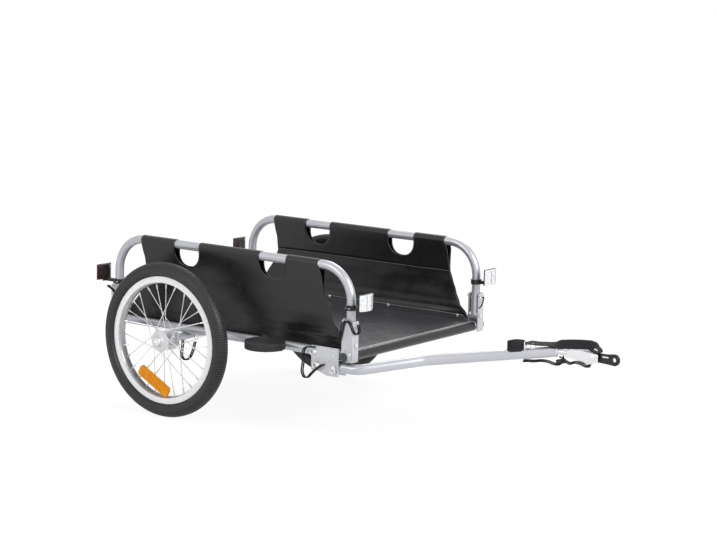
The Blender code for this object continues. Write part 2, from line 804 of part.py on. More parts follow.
def reflector(corner, way, hand, carrier, lens):
    """A block with a three-faced lens, held out from the hoop's leg by a clamp with an arm."""
    reach, share, rise = REFLECTORS[corner]
    clamp_z = CLAMP_LOWEST + share * (CLAMP_HIGHEST - CLAMP_LOWEST)
    middle_z = clamp_z + rise
    x = way * HALF_BED
    y = hand * RAIL_Y
    half = REFLECTOR_THICKNESS / 2
    middle = x + way * reach
    bulge = 0.0025
    back = middle - way * half
    front = middle + way * half
    outline = [
        (back, y - REFLECTOR_WIDTH / 2),
        (front - way * bulge, y - REFLECTOR_WIDTH / 2),
        (front, y - REFLECTOR_WIDTH / 6),
        (front, y + REFLECTOR_WIDTH / 6),
        (front - way * bulge, y + REFLECTOR_WIDTH / 2),
        (back, y + REFLECTOR_WIDTH / 2),
    ]
    block = flat_shape(f"{corner}_reflector", outline, REFLECTOR_HEIGHT)
    block.location = (0.0, 0.0, middle_z)
    keep(to_mesh(block), lens, carrier)

    name = f"{corner}_reflector_clamp"
    outer = TUBE_RADIUS + CLEARANCE + CLAMP_WALL
    ring = rod(name, (x, y, clamp_z - CLAMP_HEIGHT / 2), (x, y, clamp_z + CLAMP_HEIGHT / 2), outer, 20)
    bore = rod(
        name + "_bore",
        (x, y, clamp_z - CLAMP_HEIGHT),
        (x, y, clamp_z + CLAMP_HEIGHT),
        TUBE_RADIUS + CLEARANCE,
        20,
    )
    arm_start = x + way * (TUBE_RADIUS + CLEARANCE + CLAMP_WALL / 2)
    arm_end = back - way * CLEARANCE
    arm = box(
        name + "_arm",
        (min(arm_start, arm_end), y - CLAMP_ARM / 2, clamp_z - CLAMP_ARM / 2),
        (max(arm_start, arm_end), y + CLAMP_ARM / 2, clamp_z + CLAMP_ARM / 2),
    )
    pad_start = arm_end - way * CLAMP_WALL
    pad = box(
        name + "_pad",
        (min(pad_start, arm_end), y - REFLECTOR_WIDTH / 4, clamp_z - CLAMP_ARM / 2),
        (max(pad_start, arm_end), y + REFLECTOR_WIDTH / 4, middle_z + REFLECTOR_HEIGHT / 4),
    )
    join(ring, arm, pad)
    cut(ring, bore)
    keep(ring, BLACK_PLASTIC, carrier)


def fold_lock_pin(corner, way, hand):
    """A pull pin along X through the bracket and the hoop's leg, with its ring at the rear."""
    x = way * HALF_BED
    place = Vector((x, hand * RAIL_Y, LOCK_PIN_Z))
    reach = BRACKET_HALF_WIDTH + CLEARANCE
    carrier = pivot(f"{corner}_lock_pin_pivot", place)
    pull_pin(
        f"{corner}_lock_pin",
        place + X_AXIS * (reach + 0.0010),
        place - X_AXIS * reach,
        LOCK_PIN_RADIUS,
        0.0055,
        0.0070,
        Z_AXIS,
        carrier,
    )


def folding_side(side, hand):
    carrier = pivot(f"{side}_fold_axis", (0.0, hand * RAIL_Y, HINGE_Z))
    hoop(side, hand, carrier)
    side_panel(side, hand, carrier)
    for end, way in ENDS.items():
        corner = f"{end}_{side}"
        lens = WHITE_LENS if end == "front" else RED_LENS
        fold_bracket(f"{corner}_fold_bracket", way * HALF_BED, hand)
        reflector(corner, way, hand, carrier, lens)
        fold_lock_pin(corner, way, hand)


def tyre_profile():
    """The casing as a C that opens towards the axle, as (radius, height) points."""
    half = TYRE_WIDTH / 2
    bead = RIM_RADIUS - BEAD_DEPTH
    crown = TYRE_RADIUS - half
    bead_half = RIM_WIDTH / 2 - RIM_WALL - CLEARANCE
    shoulder = RIM_RADIUS + 0.0015
    outer = [(bead, bead_half), (shoulder, bead_half)]
    outer += [
        (crown + half * math.cos(angle), half * math.sin(angle))
        for angle in (math.radians(114 - 228 * step / 6) for step in range(7))
    ]
    outer += [(shoulder, -bead_half), (bead, -bead_half)]
    inner_half = half - TYRE_WALL
    inner = [(bead, -bead_half + TYRE_WALL), (shoulder, -bead_half + TYRE_WALL)]
    inner += [
        (crown + inner_half * math.cos(angle), inner_half * math.sin(angle))
        for angle in (math.radians(-112 + 224 * step / 4) for step in range(5))
    ]
    inner += [(shoulder, bead_half - TYRE_WALL), (bead, bead_half - TYRE_WALL)]
    return outer + inner


def rim_profile():
    """A box section with raised edges for the tyre's beads."""
    half = RIM_WIDTH / 2
    bottom = RIM_RADIUS - RIM_DEPTH
    well = RIM_RADIUS - BEAD_DEPTH - CLEARANCE
    return [
        (RIM_RADIUS, half),
        (RIM_RADIUS, half - RIM_WALL),
        (well, half - RIM_WALL),
        (well, -half + RIM_WALL),
        (RIM_RADIUS, -half + RIM_WALL),
        (RIM_RADIUS, -half),
        (bottom + 0.0040, -half),
        (bottom, -half * 0.45),
        (bottom, half * 0.45),
        (bottom + 0.0040, half),
    ]


def hub_profile():
    """Barrel and two flanges round the axle's bore."""
    half = HUB_LENGTH / 2
    outer = FLANGE_SPACING / 2 + FLANGE_THICKNESS / 2
    inner = FLANGE_SPACING / 2 - FLANGE_THICKNESS / 2
    bore = AXLE_RADIUS + CLEARANCE
    return [
        (bore, half),
        (HUB_RADIUS * 0.7, half),
        (HUB_RADIUS, outer),
        (FLANGE_RADIUS, outer),
        (FLANGE_RADIUS, inner),
        (HUB_RADIUS, inner),
        (HUB_RADIUS * 0.85, 0.0),
        (HUB_RADIUS, -inner),
        (FLANGE_RADIUS, -inner),
        (FLANGE_RADIUS, -outer),
        (HUB_RADIUS, -outer),
        (HUB_RADIUS * 0.7, -half),
        (bore, -half),
    ]


def spoke_ends(number, y):
    """Ends of one spoke: at the hub's flange and just short of the rim. Odd ones start outside."""
    flange_side = 1 if number % 2 else -1
    lead = 1 if (number // 2) % 2 else -1
    rim_angle = 2 * math.pi * number / SPOKE_COUNT
    hub_angle = rim_angle + lead * math.radians(SPOKE_SWEEP)
    pitch = FLANGE_RADIUS - 0.0035
    stop = RIM_RADIUS - RIM_DEPTH - 0.0013
    root_y = y + flange_side * (FLANGE_SPACING / 2 + lead * 0.0010)
    root = Vector((WHEEL_X + pitch * math.cos(hub_angle), root_y, AXLE_Z + pitch * math.sin(hub_angle)))
    tip = Vector((WHEEL_X + stop * math.cos(rim_angle), y, AXLE_Z + stop * math.sin(rim_angle)))
    return root, tip


def wheel(side, hand):
    y = hand * WHEEL_Y
    centre = Vector((WHEEL_X, y, AXLE_Z))
    carrier = pivot(f"{side}_wheel_axis", centre)
    keep(turned(f"{side}_tyre", tyre_profile(), centre, Y_AXIS, 32), RUBBER, carrier)
    keep(turned(f"{side}_rim", rim_profile(), centre, Y_AXIS, 32), RIM_WHITE, carrier)
    hub = turned(f"{side}_hub_and_spokes", hub_profile(), centre, Y_AXIS, 14)
    for number in range(SPOKE_COUNT):
        root, tip = spoke_ends(number, y)
        join(hub, rod(f"{side}_spoke_{number}", root, tip, SPOKE_RADIUS, 4))
    keep(hub, SPOKE_STEEL, carrier)
    spoke_reflector(side, hand, carrier)
    wheel_axle(side, hand)


def spoke_reflector(side, hand, carrier):
    """A flat reflector clipped outside the outer spokes, slanting across the wheel's lower rear."""
    y = hand * (WHEEL_Y + SPOKE_REFLECTOR_OFFSET)
    place_angle = math.radians(-102.3)
    slant = math.radians(28.3)
    half = SPOKE_REFLECTOR_LENGTH / 2
    bow = SPOKE_REFLECTOR_WIDTH / 2
    corner = 0.0060
    outline = []
    for across, up, start in ((1, 1, 0), (-1, 1, 90), (-1, -1, 180), (1, -1, 270)):
        outline += arc((across * (half - corner), up * (bow - corner)), corner, start, start + 90, 2)
    made = flat_shape(f"{side}_spoke_reflector", outline, SPOKE_REFLECTOR_THICKNESS)
    made.rotation_euler = (math.pi / 2, slant, 0.0)
    place = Vector(
        (
            WHEEL_X + SPOKE_REFLECTOR_RADIUS * math.cos(place_angle),
            y,
            AXLE_Z + SPOKE_REFLECTOR_RADIUS * math.sin(place_angle),
        )
    )
    made.location = place
    made = to_mesh(made)
    clip = box(
        f"{side}_spoke_reflector_clip",
        (-SPOKE_CLIP_LENGTH / 2, -SPOKE_CLIP_DEPTH / 2, -SPOKE_CLIP_WIDTH / 2),
        (SPOKE_CLIP_LENGTH / 2, SPOKE_CLIP_DEPTH / 2, SPOKE_CLIP_WIDTH / 2),
    )
    clip.rotation_euler = (0.0, slant, 0.0)
    clip.location = place - Y_AXIS * hand * SPOKE_CLIP_DEPTH / 2
    join(made, clip)
    for number in range(SPOKE_COUNT):
        root, tip = spoke_ends(number, hand * WHEEL_Y)
        if (tip - place).length < SPOKE_REFLECTOR_LENGTH:
            cut(made, rod(f"{side}_spoke_passage_{number}", root, tip, SPOKE_RADIUS + CLEARANCE, 4))
    keep(made, ORANGE_LENS, carrier)


def wheel_axle(side, hand):
    """A quick-release axle with a cap outside the hub and a cross hole for its release pin."""
    outer = HUB_LENGTH / 2 + CLEARANCE
    inner_end = AXLE_REACH - WHEEL_Y
    profile = [
        (0.0, outer + AXLE_CAP_LENGTH),
        (AXLE_CAP_RADIUS * 0.8, outer + AXLE_CAP_LENGTH),
        (AXLE_CAP_RADIUS, outer + AXLE_CAP_LENGTH * 0.6),
        (AXLE_CAP_RADIUS, outer),
        (AXLE_RADIUS, outer),
        (AXLE_RADIUS, inner_end),
        (0.0, inner_end),
    ]
    place = (WHEEL_X, hand * WHEEL_Y, AXLE_Z)
    axle = turned(f"{side}_wheel_axle", profile, place, Y_AXIS * hand, 16)
    cut(axle, release_pin_hole(f"{side}_wheel_axle_hole", hand))
    keep(axle, ZINC)


def release_pin_hole(name, hand):
    place = Vector((WHEEL_X, hand * RELEASE_PIN_Y, AXLE_Z))
    reach = X_AXIS * 2 * BEAM_RADIUS
    return rod(name, place - reach, place + reach, RELEASE_PIN_RADIUS + CLEARANCE, 12)


def axle_beam():
    """The tube under the bed that both wheels' axles plug into, coped where it meets the rails."""
    reach = WHEEL_Y - HUB_LENGTH / 2 - CLEARANCE
    beam = rod("axle_beam", (WHEEL_X, -reach, AXLE_Z), (WHEEL_X, reach, AXLE_Z), BEAM_RADIUS, 20)
    bore = rod(
        "axle_beam_bore",
        (WHEEL_X, -WHEEL_Y, AXLE_Z),
        (WHEEL_X, WHEEL_Y, AXLE_Z),
        BEAM_RADIUS - BEAM_WALL,
        16,
    )
    cut(beam, bore)
    for side, hand in SIDES.items():
        y = hand * RAIL_Y
        cope = rod(
            f"axle_beam_cope_{side}",
            (WHEEL_X - 4 * BEAM_RADIUS, y, RAIL_HEIGHT),
            (WHEEL_X + 4 * BEAM_RADIUS, y, RAIL_HEIGHT),
            TUBE_RADIUS + CLEARANCE,
            24,
        )
        cut(beam, cope, release_pin_hole(f"axle_beam_pin_hole_{side}", hand))
    return keep(beam, SILVER)


def wheel_release_pin(side, hand):
    start = Vector((WHEEL_X, hand * RELEASE_PIN_Y, AXLE_Z))
    carrier = pivot(f"{side}_release_pin_pivot", start)
    pull_pin(
        f"{side}_wheel_release_pin",
        start - X_AXIS * (BEAM_RADIUS + 0.0020),
        start + X_AXIS * (BEAM_RADIUS + CLEARANCE),
        RELEASE_PIN_RADIUS,
        0.0045,
        0.0070,
        -Z_AXIS,
        carrier,
    )


def bumper(side, hand):
    """A flat roller with a conical top that turns on a spindle outside the rail."""
    y = hand * (RAIL_Y + TUBE_RADIUS + ROLLER_GAP + ROLLER_RADIUS)
    name = f"{side}_bumper_bracket"
    inner = hand * (RAIL_Y + TUBE_RADIUS + CLEARANCE)
    strap = 0.0030
    half = 0.0110
    arm_top = ROLLER_BOTTOM - 0.0040
    flange_y = (inner, inner + hand * strap)
    made = box(
        name,
        (ROLLER_X - half, min(flange_y), arm_top - 3 * strap),
        (ROLLER_X + half, max(flange_y), ROLLER_BOTTOM - CLEARANCE),
    )
    arm_y = (inner, y + hand * half)
    arm = box(
        name + "_arm",
        (ROLLER_X - half, min(arm_y), arm_top - strap),
        (ROLLER_X + half, max(arm_y), arm_top),
    )
    peak = ROLLER_BOTTOM + ROLLER_RIM_HEIGHT + ROLLER_CONE_HEIGHT
    spindle = rod(
        name + "_spindle", (ROLLER_X, y, arm_top - strap / 2), (ROLLER_X, y, peak + 0.0020), SPINDLE_RADIUS, 16
    )
    collar = rod(
        name + "_collar", (ROLLER_X, y, arm_top - strap / 2), (ROLLER_X, y, ROLLER_BOTTOM - CLEARANCE), 0.0080, 12
    )
    cap = rod(
        name + "_cap", (ROLLER_X, y, peak + CLEARANCE), (ROLLER_X, y, peak + 0.0030), 0.0080, 12, 0.0060
    )
    join(made, arm, spindle, collar, cap)
    keep(made, BLACK_STEEL)

    bore = SPINDLE_RADIUS + CLEARANCE
    edge = 0.0020
    profile = [
        (bore, peak - ROLLER_BOTTOM),
        (0.0090, peak - ROLLER_BOTTOM),
        (ROLLER_RADIUS * 0.55, ROLLER_RIM_HEIGHT + ROLLER_CONE_HEIGHT * 0.35),
        (ROLLER_RADIUS - edge, ROLLER_RIM_HEIGHT),
        (ROLLER_RADIUS, ROLLER_RIM_HEIGHT - edge),
        (ROLLER_RADIUS, edge),
        (ROLLER_RADIUS - edge, 0.0),
        (bore, 0.0),
    ]
    place = Vector((ROLLER_X, y, ROLLER_BOTTOM))
    carrier = pivot(f"{side}_bumper_axis", place)
    keep(turned(f"{side}_bumper_roller", profile, place, Z_AXIS, 28), BLACK_PLASTIC, carrier)


def tow_bracket():
    """Two plates joined by a web under the rail. The outer one also covers the rail."""
    arm_z = ARM_AXIS.z
    inner_face = ARM_RADIUS + PLATE_GAP
    top = RAIL_HEIGHT + TUBE_RADIUS + 0.0045
    web_top = RAIL_HEIGHT - TUBE_RADIUS - CLEARANCE
    low_front = arm_z - 0.0215
    low_back = arm_z - 0.0135

    def plate_outline(height):
        return [
            (PLATE_BACK_X, height),
            (PLATE_BACK_X, low_back),
            (PLATE_BACK_X + 0.0230, low_back),
            (PLATE_BACK_X + 0.0450, low_front),
            (PLATE_FRONT_X, low_front),
            (PLATE_FRONT_X, height),
        ]

    outer_y = -RAIL_Y - inner_face - PLATE / 2
    inner_y = -RAIL_Y + inner_face + PLATE / 2
    made = upright("tow_bracket", plate_outline(top), PLATE, outer_y)
    inner = upright("tow_bracket_inner", plate_outline(web_top), PLATE, inner_y)
    web = box(
        "tow_bracket_web",
        (PLATE_BACK_X, outer_y - PLATE / 2, web_top - PLATE),
        (PLATE_FRONT_X, inner_y + PLATE / 2, web_top),
    )
    join(made, web, inner)
    for number, z in enumerate((RAIL_HEIGHT + 0.0055, RAIL_HEIGHT - 0.0040)):
        rivet = rod(
            f"tow_bracket_rivet_{number}",
            (LOCK_X - 0.0050, outer_y, z),
            (LOCK_X - 0.0050, outer_y - PLATE / 2 - 0.0016, z),
            0.0035,
            12,
            0.0020,
        )
        join(made, rivet)
    for x in (PIVOT_X, LOCK_X):
        hole = rod(
            f"tow_bracket_hole_{x:.3f}",
            (x, outer_y - 0.0100, arm_z),
            (x, inner_y + 0.0100, arm_z),
            TOW_PIN_RADIUS + CLEARANCE,
            16,
        )
        cut(made, hole)
    pin_hole = rod(
        "tow_bracket_pin_hole",
        (BRACKET_PIN_X, outer_y - 0.0100, RAIL_HEIGHT),
        (BRACKET_PIN_X, outer_y + 0.0100, RAIL_HEIGHT),
        BRACKET_PIN_RADIUS + CLEARANCE,
        12,
    )
    cut(made, pin_hole)
    return keep(made, SILVER)


def drill_rail_for_bracket_pin():
    rail = bpy.data.objects["right_side_rail"]
    hole = rod(
        "right_side_rail_pin_hole",
        (BRACKET_PIN_X, -RAIL_Y - 2 * TUBE_RADIUS, RAIL_HEIGHT),
        (BRACKET_PIN_X, -RAIL_Y + 2 * TUBE_RADIUS, RAIL_HEIGHT),
        BRACKET_PIN_RADIUS + CLEARANCE,
        12,
    )
    cut(rail, hole)


def tow_pins():
    """The arm's pivot pin and lock pin, and the pin that holds the bracket to the rail."""
    outer = ARM_RADIUS + PLATE_GAP + PLATE
    tip = outer + 0.0020
    head = outer + CLEARANCE
    rows = (
        ("tow_pivot_pin", PIVOT_X, ARM_AXIS.z, TOW_PIN_RADIUS, tip, -X_AXIS),
        ("tow_lock_pin", LOCK_X, ARM_AXIS.z, TOW_PIN_RADIUS, tip, -Z_AXIS),
        ("tow_bracket_pin", BRACKET_PIN_X, RAIL_HEIGHT, BRACKET_PIN_RADIUS, TUBE_RADIUS + 0.0020, -X_AXIS),
    )
    for name, x, z, radius, reach, ring_side in rows:
        place = Vector((x, -RAIL_Y, z))
        carrier = pivot(f"{name}_pivot", place)
        pull_pin(
            name,
            place + Y_AXIS * reach,
            place - Y_AXIS * head,
            radius,
            radius + 0.0022,
            0.0070,
            ring_side,
            carrier,
        )


def tow_arm(carrier):
    """A bent tube with a rounded end on the pivot pin, a slot that takes the lock pin from above,
    and a stud at its front end."""
    start = ARM_AXIS + X_AXIS * PIVOT_X
    path = rounded_path([start, ARM_KNEE, ARM_ELBOW, ARM_TIP], ARM_BEND, 4)
    made = pipe("tow_arm", path, ARM_RADIUS, ARM_WALL)
    barrel = rod(
        "tow_arm_barrel", start - Y_AXIS * ARM_RADIUS, start + Y_AXIS * ARM_RADIUS, ARM_RADIUS, 20
    )
    last = (ARM_TIP - ARM_ELBOW).normalized()
    end_plug = rod(
        "tow_arm_end_plug",
        ARM_TIP - last * END_PLUG_DEPTH,
        ARM_TIP + last * END_PLUG_LIP,
        ARM_RADIUS - CLEARANCE,
        16,
    )
    stud = rod("tow_arm_stud", ARM_TIP - X_AXIS * 0.0080, ARM_TIP + X_AXIS * STUD_LENGTH, STUD_RADIUS, 16)
    join(made, barrel, end_plug, stud)
    bore = rod(
        "tow_arm_bore",
        start - Y_AXIS * 2 * ARM_RADIUS,
        start + Y_AXIS * 2 * ARM_RADIUS,
        TOW_PIN_RADIUS + CLEARANCE,
        16,
    )
    lock = ARM_AXIS + X_AXIS * LOCK_X
    width = TOW_PIN_RADIUS + 2 * CLEARANCE
    swing = (LOCK_X - PIVOT_X) - math.sqrt((LOCK_X - PIVOT_X) ** 2 - ARM_RADIUS**2)
    slot = box(
        "tow_arm_slot",
        (lock.x - width - swing, lock.y - 2 * ARM_RADIUS, lock.z),
        (lock.x + width, lock.y + 2 * ARM_RADIUS, lock.z + 2 * ARM_RADIUS),
    )
    slot_end = rod(
        "tow_arm_slot_end", lock - Y_AXIS * 2 * ARM_RADIUS, lock + Y_AXIS * 2 * ARM_RADIUS, width, 16
    )
    cut(made, bore, slot, slot_end)
    return keep(made, SILVER, carrier)


def hitch():
    """Yoke that turns on the arm's stud, coupler plate that tilts in it, and their pins."""
    roll = pivot("hitch_roll_axis", ARM_TIP)
    start = ARM_TIP + X_AXIS * YOKE_START
    half = YOKE_WIDTH / 2
    block = box(
        "hitch_yoke",
        (start.x, start.y - half, start.z - YOKE_HEIGHT / 2),
        (start.x + YOKE_BLOCK, start.y + half, start.z + YOKE_HEIGHT / 2),
    )
    cheek_drop = 0.0120
    end = start.x + YOKE_LENGTH
    outline = [
        (start.x, start.z + YOKE_HEIGHT / 2),
        (start.x, start.z - YOKE_HEIGHT / 2),
        (end - 0.0240, start.z - cheek_drop),
        (end, start.z - YOKE_HEIGHT / 2 + 0.0020),
        (end, start.z + YOKE_HEIGHT / 2),
    ]
    cheeks = []
    for way in (-1, 1):
        cheeks.append(upright(f"hitch_cheek_{way}", outline, CHEEK, start.y + way * (half - CHEEK / 2)))
    join(block, *cheeks)
    bore = rod(
        "hitch_yoke_bore",
        start - X_AXIS * 0.0100,
        start + X_AXIS * (STUD_LENGTH - YOKE_START + 0.0020),
        STUD_RADIUS + CLEARANCE,
        16,
    )
    tilt_place = ARM_TIP + X_AXIS * COUPLER_PIVOT
    pin_hole = rod(
        "hitch_yoke_pin_hole",
        tilt_place - Y_AXIS * YOKE_WIDTH,
        tilt_place + Y_AXIS * YOKE_WIDTH,
        TOW_PIN_RADIUS + CLEARANCE,
        16,
    )
    cut(block, bore, pin_hole)
    keep(block, ZINC, roll)

    pin = rod(
        "coupler_pin",
        tilt_place - Y_AXIS * (half + 0.0015),
        tilt_place + Y_AXIS * (half + 0.0015),
        TOW_PIN_RADIUS,
        16,
    )
    for way in (-1, 1):
        face = tilt_place + Y_AXIS * way * (half + CLEARANCE)
        join(pin, rod(f"coupler_pin_head_{way}", face, face + Y_AXIS * way * 0.0030, 0.0065, 12))
    keep(pin, ZINC, roll)

    tilt = pivot("coupler_axis", tilt_place)
    eye = ARM_TIP + X_AXIS * COUPLER_HOLE
    high = COUPLER_HEIGHT / 2
    outline = arc((tilt_place.x, tilt_place.z), high, 90, 270, 6)
    outline += arc((eye.x, eye.z), COUPLER_EYE_RADIUS, -60, 60, 8)
    plate = upright("coupler_plate", outline, COUPLER_THICKNESS, ARM_TIP.y)
    eye_hole = rod(
        "coupler_eye_hole", eye - Y_AXIS * 0.0200, eye + Y_AXIS * 0.0200, COUPLER_HOLE_RADIUS, 20
    )
    tilt_hole = rod(
        "coupler_tilt_hole",
        tilt_place - Y_AXIS * 0.0200,
        tilt_place + Y_AXIS * 0.0200,
        TOW_PIN_RADIUS + CLEARANCE,
        16,
    )
    cut(plate, eye_hole, tilt_hole)
    keep(plate, BLACK_STEEL, tilt)


def smooth_route(points, spacing):
    """Evenly spaced points along one smooth curve through the given ones."""
    points = [Vector(point) for point in points]
    padded = [2 * points[0] - points[1], *points, 2 * points[-1] - points[-2]]
    fine = []
    for before, start, end, after in zip(padded, padded[1:], padded[2:], padded[3:]):
        for step in range(16):
            t = step / 16
            fine.append(
                start
                + 0.5 * (end - before) * t
                + 0.5 * (2 * before - 5 * start + 4 * end - after) * t**2
                + 0.5 * (3 * start - before - 3 * end + after) * t**3
            )
    fine.append(points[-1])
    along = [0.0]
    for start, end in zip(fine, fine[1:]):
        along.append(along[-1] + (end - start).length)
    count = round(along[-1] / spacing)
    path = []
    place = 0
    for step in range(count + 1):
        wanted = along[-1] * step / count
        while place < len(along) - 2 and along[place + 1] < wanted:
            place += 1
        share = (wanted - along[place]) / (along[place + 1] - along[place])
        path.append(fine[place].lerp(fine[place + 1], share))
    return path


def tether(name, place, route, carrier=None):
    """A short cord, as one tube along its whole route."""
    path = smooth_route([place + Vector(step) for step in route], TETHER_STEP)
    cord = curve_object(name, path, TETHER_RADIUS, capped=True, resolution=2)
    return keep(cord, CORD_BLACK, carrier)


def tethers(arm):
    """The cords that keep the near side's pull pins on the frame, and the hitch's on the arm."""
    for end, route in (("front", FRONT_LOCK_TETHER), ("rear", REAR_LOCK_TETHER)):
        place = Vector((ENDS[end] * HALF_BED, -RAIL_Y, LOCK_PIN_Z))
        tether(f"{end}_right_lock_tether", place, route)
    tether("right_wheel_release_tether", Vector((WHEEL_X, -RELEASE_PIN_Y, AXLE_Z)), WHEEL_RELEASE_TETHER)
    tether("tow_bracket_tether", Vector((PLATE_BACK_X, -RAIL_Y, RAIL_HEIGHT)), BRACKET_TETHER)
    along = (ARM_TIP - ARM_ELBOW).normalized()
    left = Z_AXIS.cross(along).normalized()
    up = along.cross(left)
    route = [along * ahead + left * aside + up * above for ahead, aside, above in HITCH_TETHER]
    tether("hitch_tether", ARM_TIP, route, arm)


def safety_strap(carrier):
    """Webbing: a collar round the arm and a band that runs forwards above the hitch."""
    along = (ARM_TIP - ARM_ELBOW).normalized()
    middle = ARM_ELBOW.lerp(ARM_TIP, STRAP_COLLAR_PLACE)
    inner = ARM_RADIUS + CLEARANCE
    outer = inner + STRAP_THICKNESS
    half = along * STRAP_COLLAR_WIDTH / 2
    collar = rod("safety_strap", middle - half, middle + half, outer, 24)
    tunnel = rod("safety_strap_tunnel", middle - 2 * half, middle + 2 * half, inner, 24)
    run = Vector((ARM_TIP.x + STRAP_REACH, ARM_TIP.y, 0.0)) - Vector((middle.x, middle.y, 0.0))
    heights = [
        (share * run.length, ARM_RADIUS + low, ARM_RADIUS + high) for share, low, high in STRAP_BAND
    ]
    outline = [(across, low) for across, low, high in heights]
    outline += [(across, high) for across, low, high in reversed(heights)]
    band = flat_shape("safety_strap_band", outline, STRAP_THICKNESS)
    band.rotation_euler = (math.pi / 2, 0.0, math.atan2(run.y, run.x))
    band.location = middle
    join(collar, to_mesh(band))
    cut(collar, tunnel)
    return keep(collar, WEBBING, carrier)


def towing():
    tow_bracket()
    drill_rail_for_bracket_pin()
    tow_pins()
    carrier = pivot("tow_arm_axis", ARM_AXIS + X_AXIS * PIVOT_X)
    tow_arm(carrier)
    safety_strap(carrier)
    tethers(carrier)
    hitch()


frame_tubes()
axle_beam()
floor_panel()
for SIDE, HAND in SIDES.items():
    folding_side(SIDE, HAND)
    wheel(SIDE, HAND)
    wheel_release_pin(SIDE, HAND)
    bumper(SIDE, HAND)
towing()
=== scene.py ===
"""Looks of a two-wheeled cargo trailer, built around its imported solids.

Metres throughout. +X points forwards, +Y to the trailer's left, and the ground is at z = 0.
Places are given in bed coordinates, whose x is counted from the middle of the bed.
"""

import json
import math

import bmesh
import bpy
import numpy as np
from mathutils import Matrix, Vector, noise


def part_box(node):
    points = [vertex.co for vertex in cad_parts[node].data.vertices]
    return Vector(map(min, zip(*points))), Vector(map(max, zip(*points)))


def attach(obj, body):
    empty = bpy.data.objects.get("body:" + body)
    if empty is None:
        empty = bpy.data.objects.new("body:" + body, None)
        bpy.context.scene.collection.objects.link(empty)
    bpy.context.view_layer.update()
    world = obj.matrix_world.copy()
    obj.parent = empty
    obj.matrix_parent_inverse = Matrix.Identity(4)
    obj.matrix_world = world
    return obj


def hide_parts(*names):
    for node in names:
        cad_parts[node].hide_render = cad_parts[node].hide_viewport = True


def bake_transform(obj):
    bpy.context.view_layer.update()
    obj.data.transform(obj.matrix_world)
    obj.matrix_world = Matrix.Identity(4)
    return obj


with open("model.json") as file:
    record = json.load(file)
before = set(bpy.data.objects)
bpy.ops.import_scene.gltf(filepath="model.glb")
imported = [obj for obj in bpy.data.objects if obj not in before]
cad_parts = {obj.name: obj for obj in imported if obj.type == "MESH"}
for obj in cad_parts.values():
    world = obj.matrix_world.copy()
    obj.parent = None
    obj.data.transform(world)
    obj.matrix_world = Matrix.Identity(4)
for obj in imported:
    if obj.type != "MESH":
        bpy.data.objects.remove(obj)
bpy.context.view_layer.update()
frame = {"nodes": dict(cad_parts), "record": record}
NODES = frame["nodes"]

SIDES = {"right": -1, "left": 1}
ENDS = {"front": 1, "rear": -1}

# Places and sizes that the solids fix
BED_X = (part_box("front_cross_tube")[0].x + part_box("rear_cross_tube")[1].x) / 2
HALF_BED = 0.3634
RAIL_Y = 0.2683
RAIL_Z = 0.2108
CROSS_REACH = RAIL_Y + 0.0257  # half the length of a cross tube
TUBE_RADIUS = 0.0110
HINGE_Z = 0.2383
HOOP_Z = 0.4190
HOOP_BEND = 0.0815
LOCK_PIN_Z = 0.2840
LOCK_PIN_RADIUS = 0.0030
LOCK_HEAD_RADIUS = 0.0055
BARREL_RADIUS = 0.0105
BARREL_LENGTH = 0.0250
HINGE_PIN_RADIUS = 0.0040
BRACKET_HALF_WIDTH = 0.0155
BRACKET_FACE = 0.0148  # outer face of a fold bracket from the rail's plane
CLEARANCE = 0.0003
TUBE_SIDES = 40
ARM_SIDES = 44
WHEEL_X = -0.1438
WHEEL_Y = 0.3430
AXLE_Z = 0.1925
AXLE_END_Y = 0.2180
BEAM_RADIUS = 0.0090
RELEASE_PIN_Y = 0.2400
RELEASE_PIN_RADIUS = 0.0025
RELEASE_HEAD_RADIUS = 0.0045
ARM_AXIS = Vector((0.0, -RAIL_Y, 0.1795))
ARM_PIVOT = ARM_AXIS + Vector((0.2815, 0.0, 0.0))
ARM_LOCK = ARM_AXIS + Vector((0.3280, 0.0, 0.0))
ARM_KNEE = ARM_AXIS + Vector((0.3860, 0.0, 0.0))
ARM_ELBOW = ARM_AXIS + Vector((0.4960, 0.1183, 0.0213))
ARM_TIP = ARM_AXIS + Vector((0.7776, 0.2483, 0.0627))
ARM_BEND = 0.0450
ARM_RADIUS = 0.0127
TOW_PIN_RADIUS = 0.0040
BRACKET_PIN_X = 0.2723
BRACKET_PIN_RADIUS = 0.0030
PLATE_FACE = 0.0157  # outer face of the tow bracket from the rail's plane
STUD_RADIUS = 0.0065
STUD_BEHIND = 0.0060  # reach of the threaded stud behind and ahead of the arm's tip
STUD_AHEAD = 0.0480

X_AXIS = Vector((1.0, 0.0, 0.0))
Y_AXIS = Vector((0.0, 1.0, 0.0))
Z_AXIS = Vector((0.0, 0.0, 1.0))


def bed(x, y, z):
    """A place in bed coordinates as one in the frame's."""
    return Vector((x + BED_X, y, z))


def mix(a, b, share):
    return a + (b - a) * share


def curve_through(table, at):
    """Smooth value at a place, from (place, value) rows in rising order."""
    if at <= table[0][0]:
        return table[0][1]
    for (x0, y0), (x1, y1) in zip(table, table[1:]):
        if at <= x1:
            t = (at - x0) / (x1 - x0)
            return mix(y0, y1, t * t * (3 - 2 * t) * 0.35 + t * 0.65)
    return table[-1][1]


# Materials


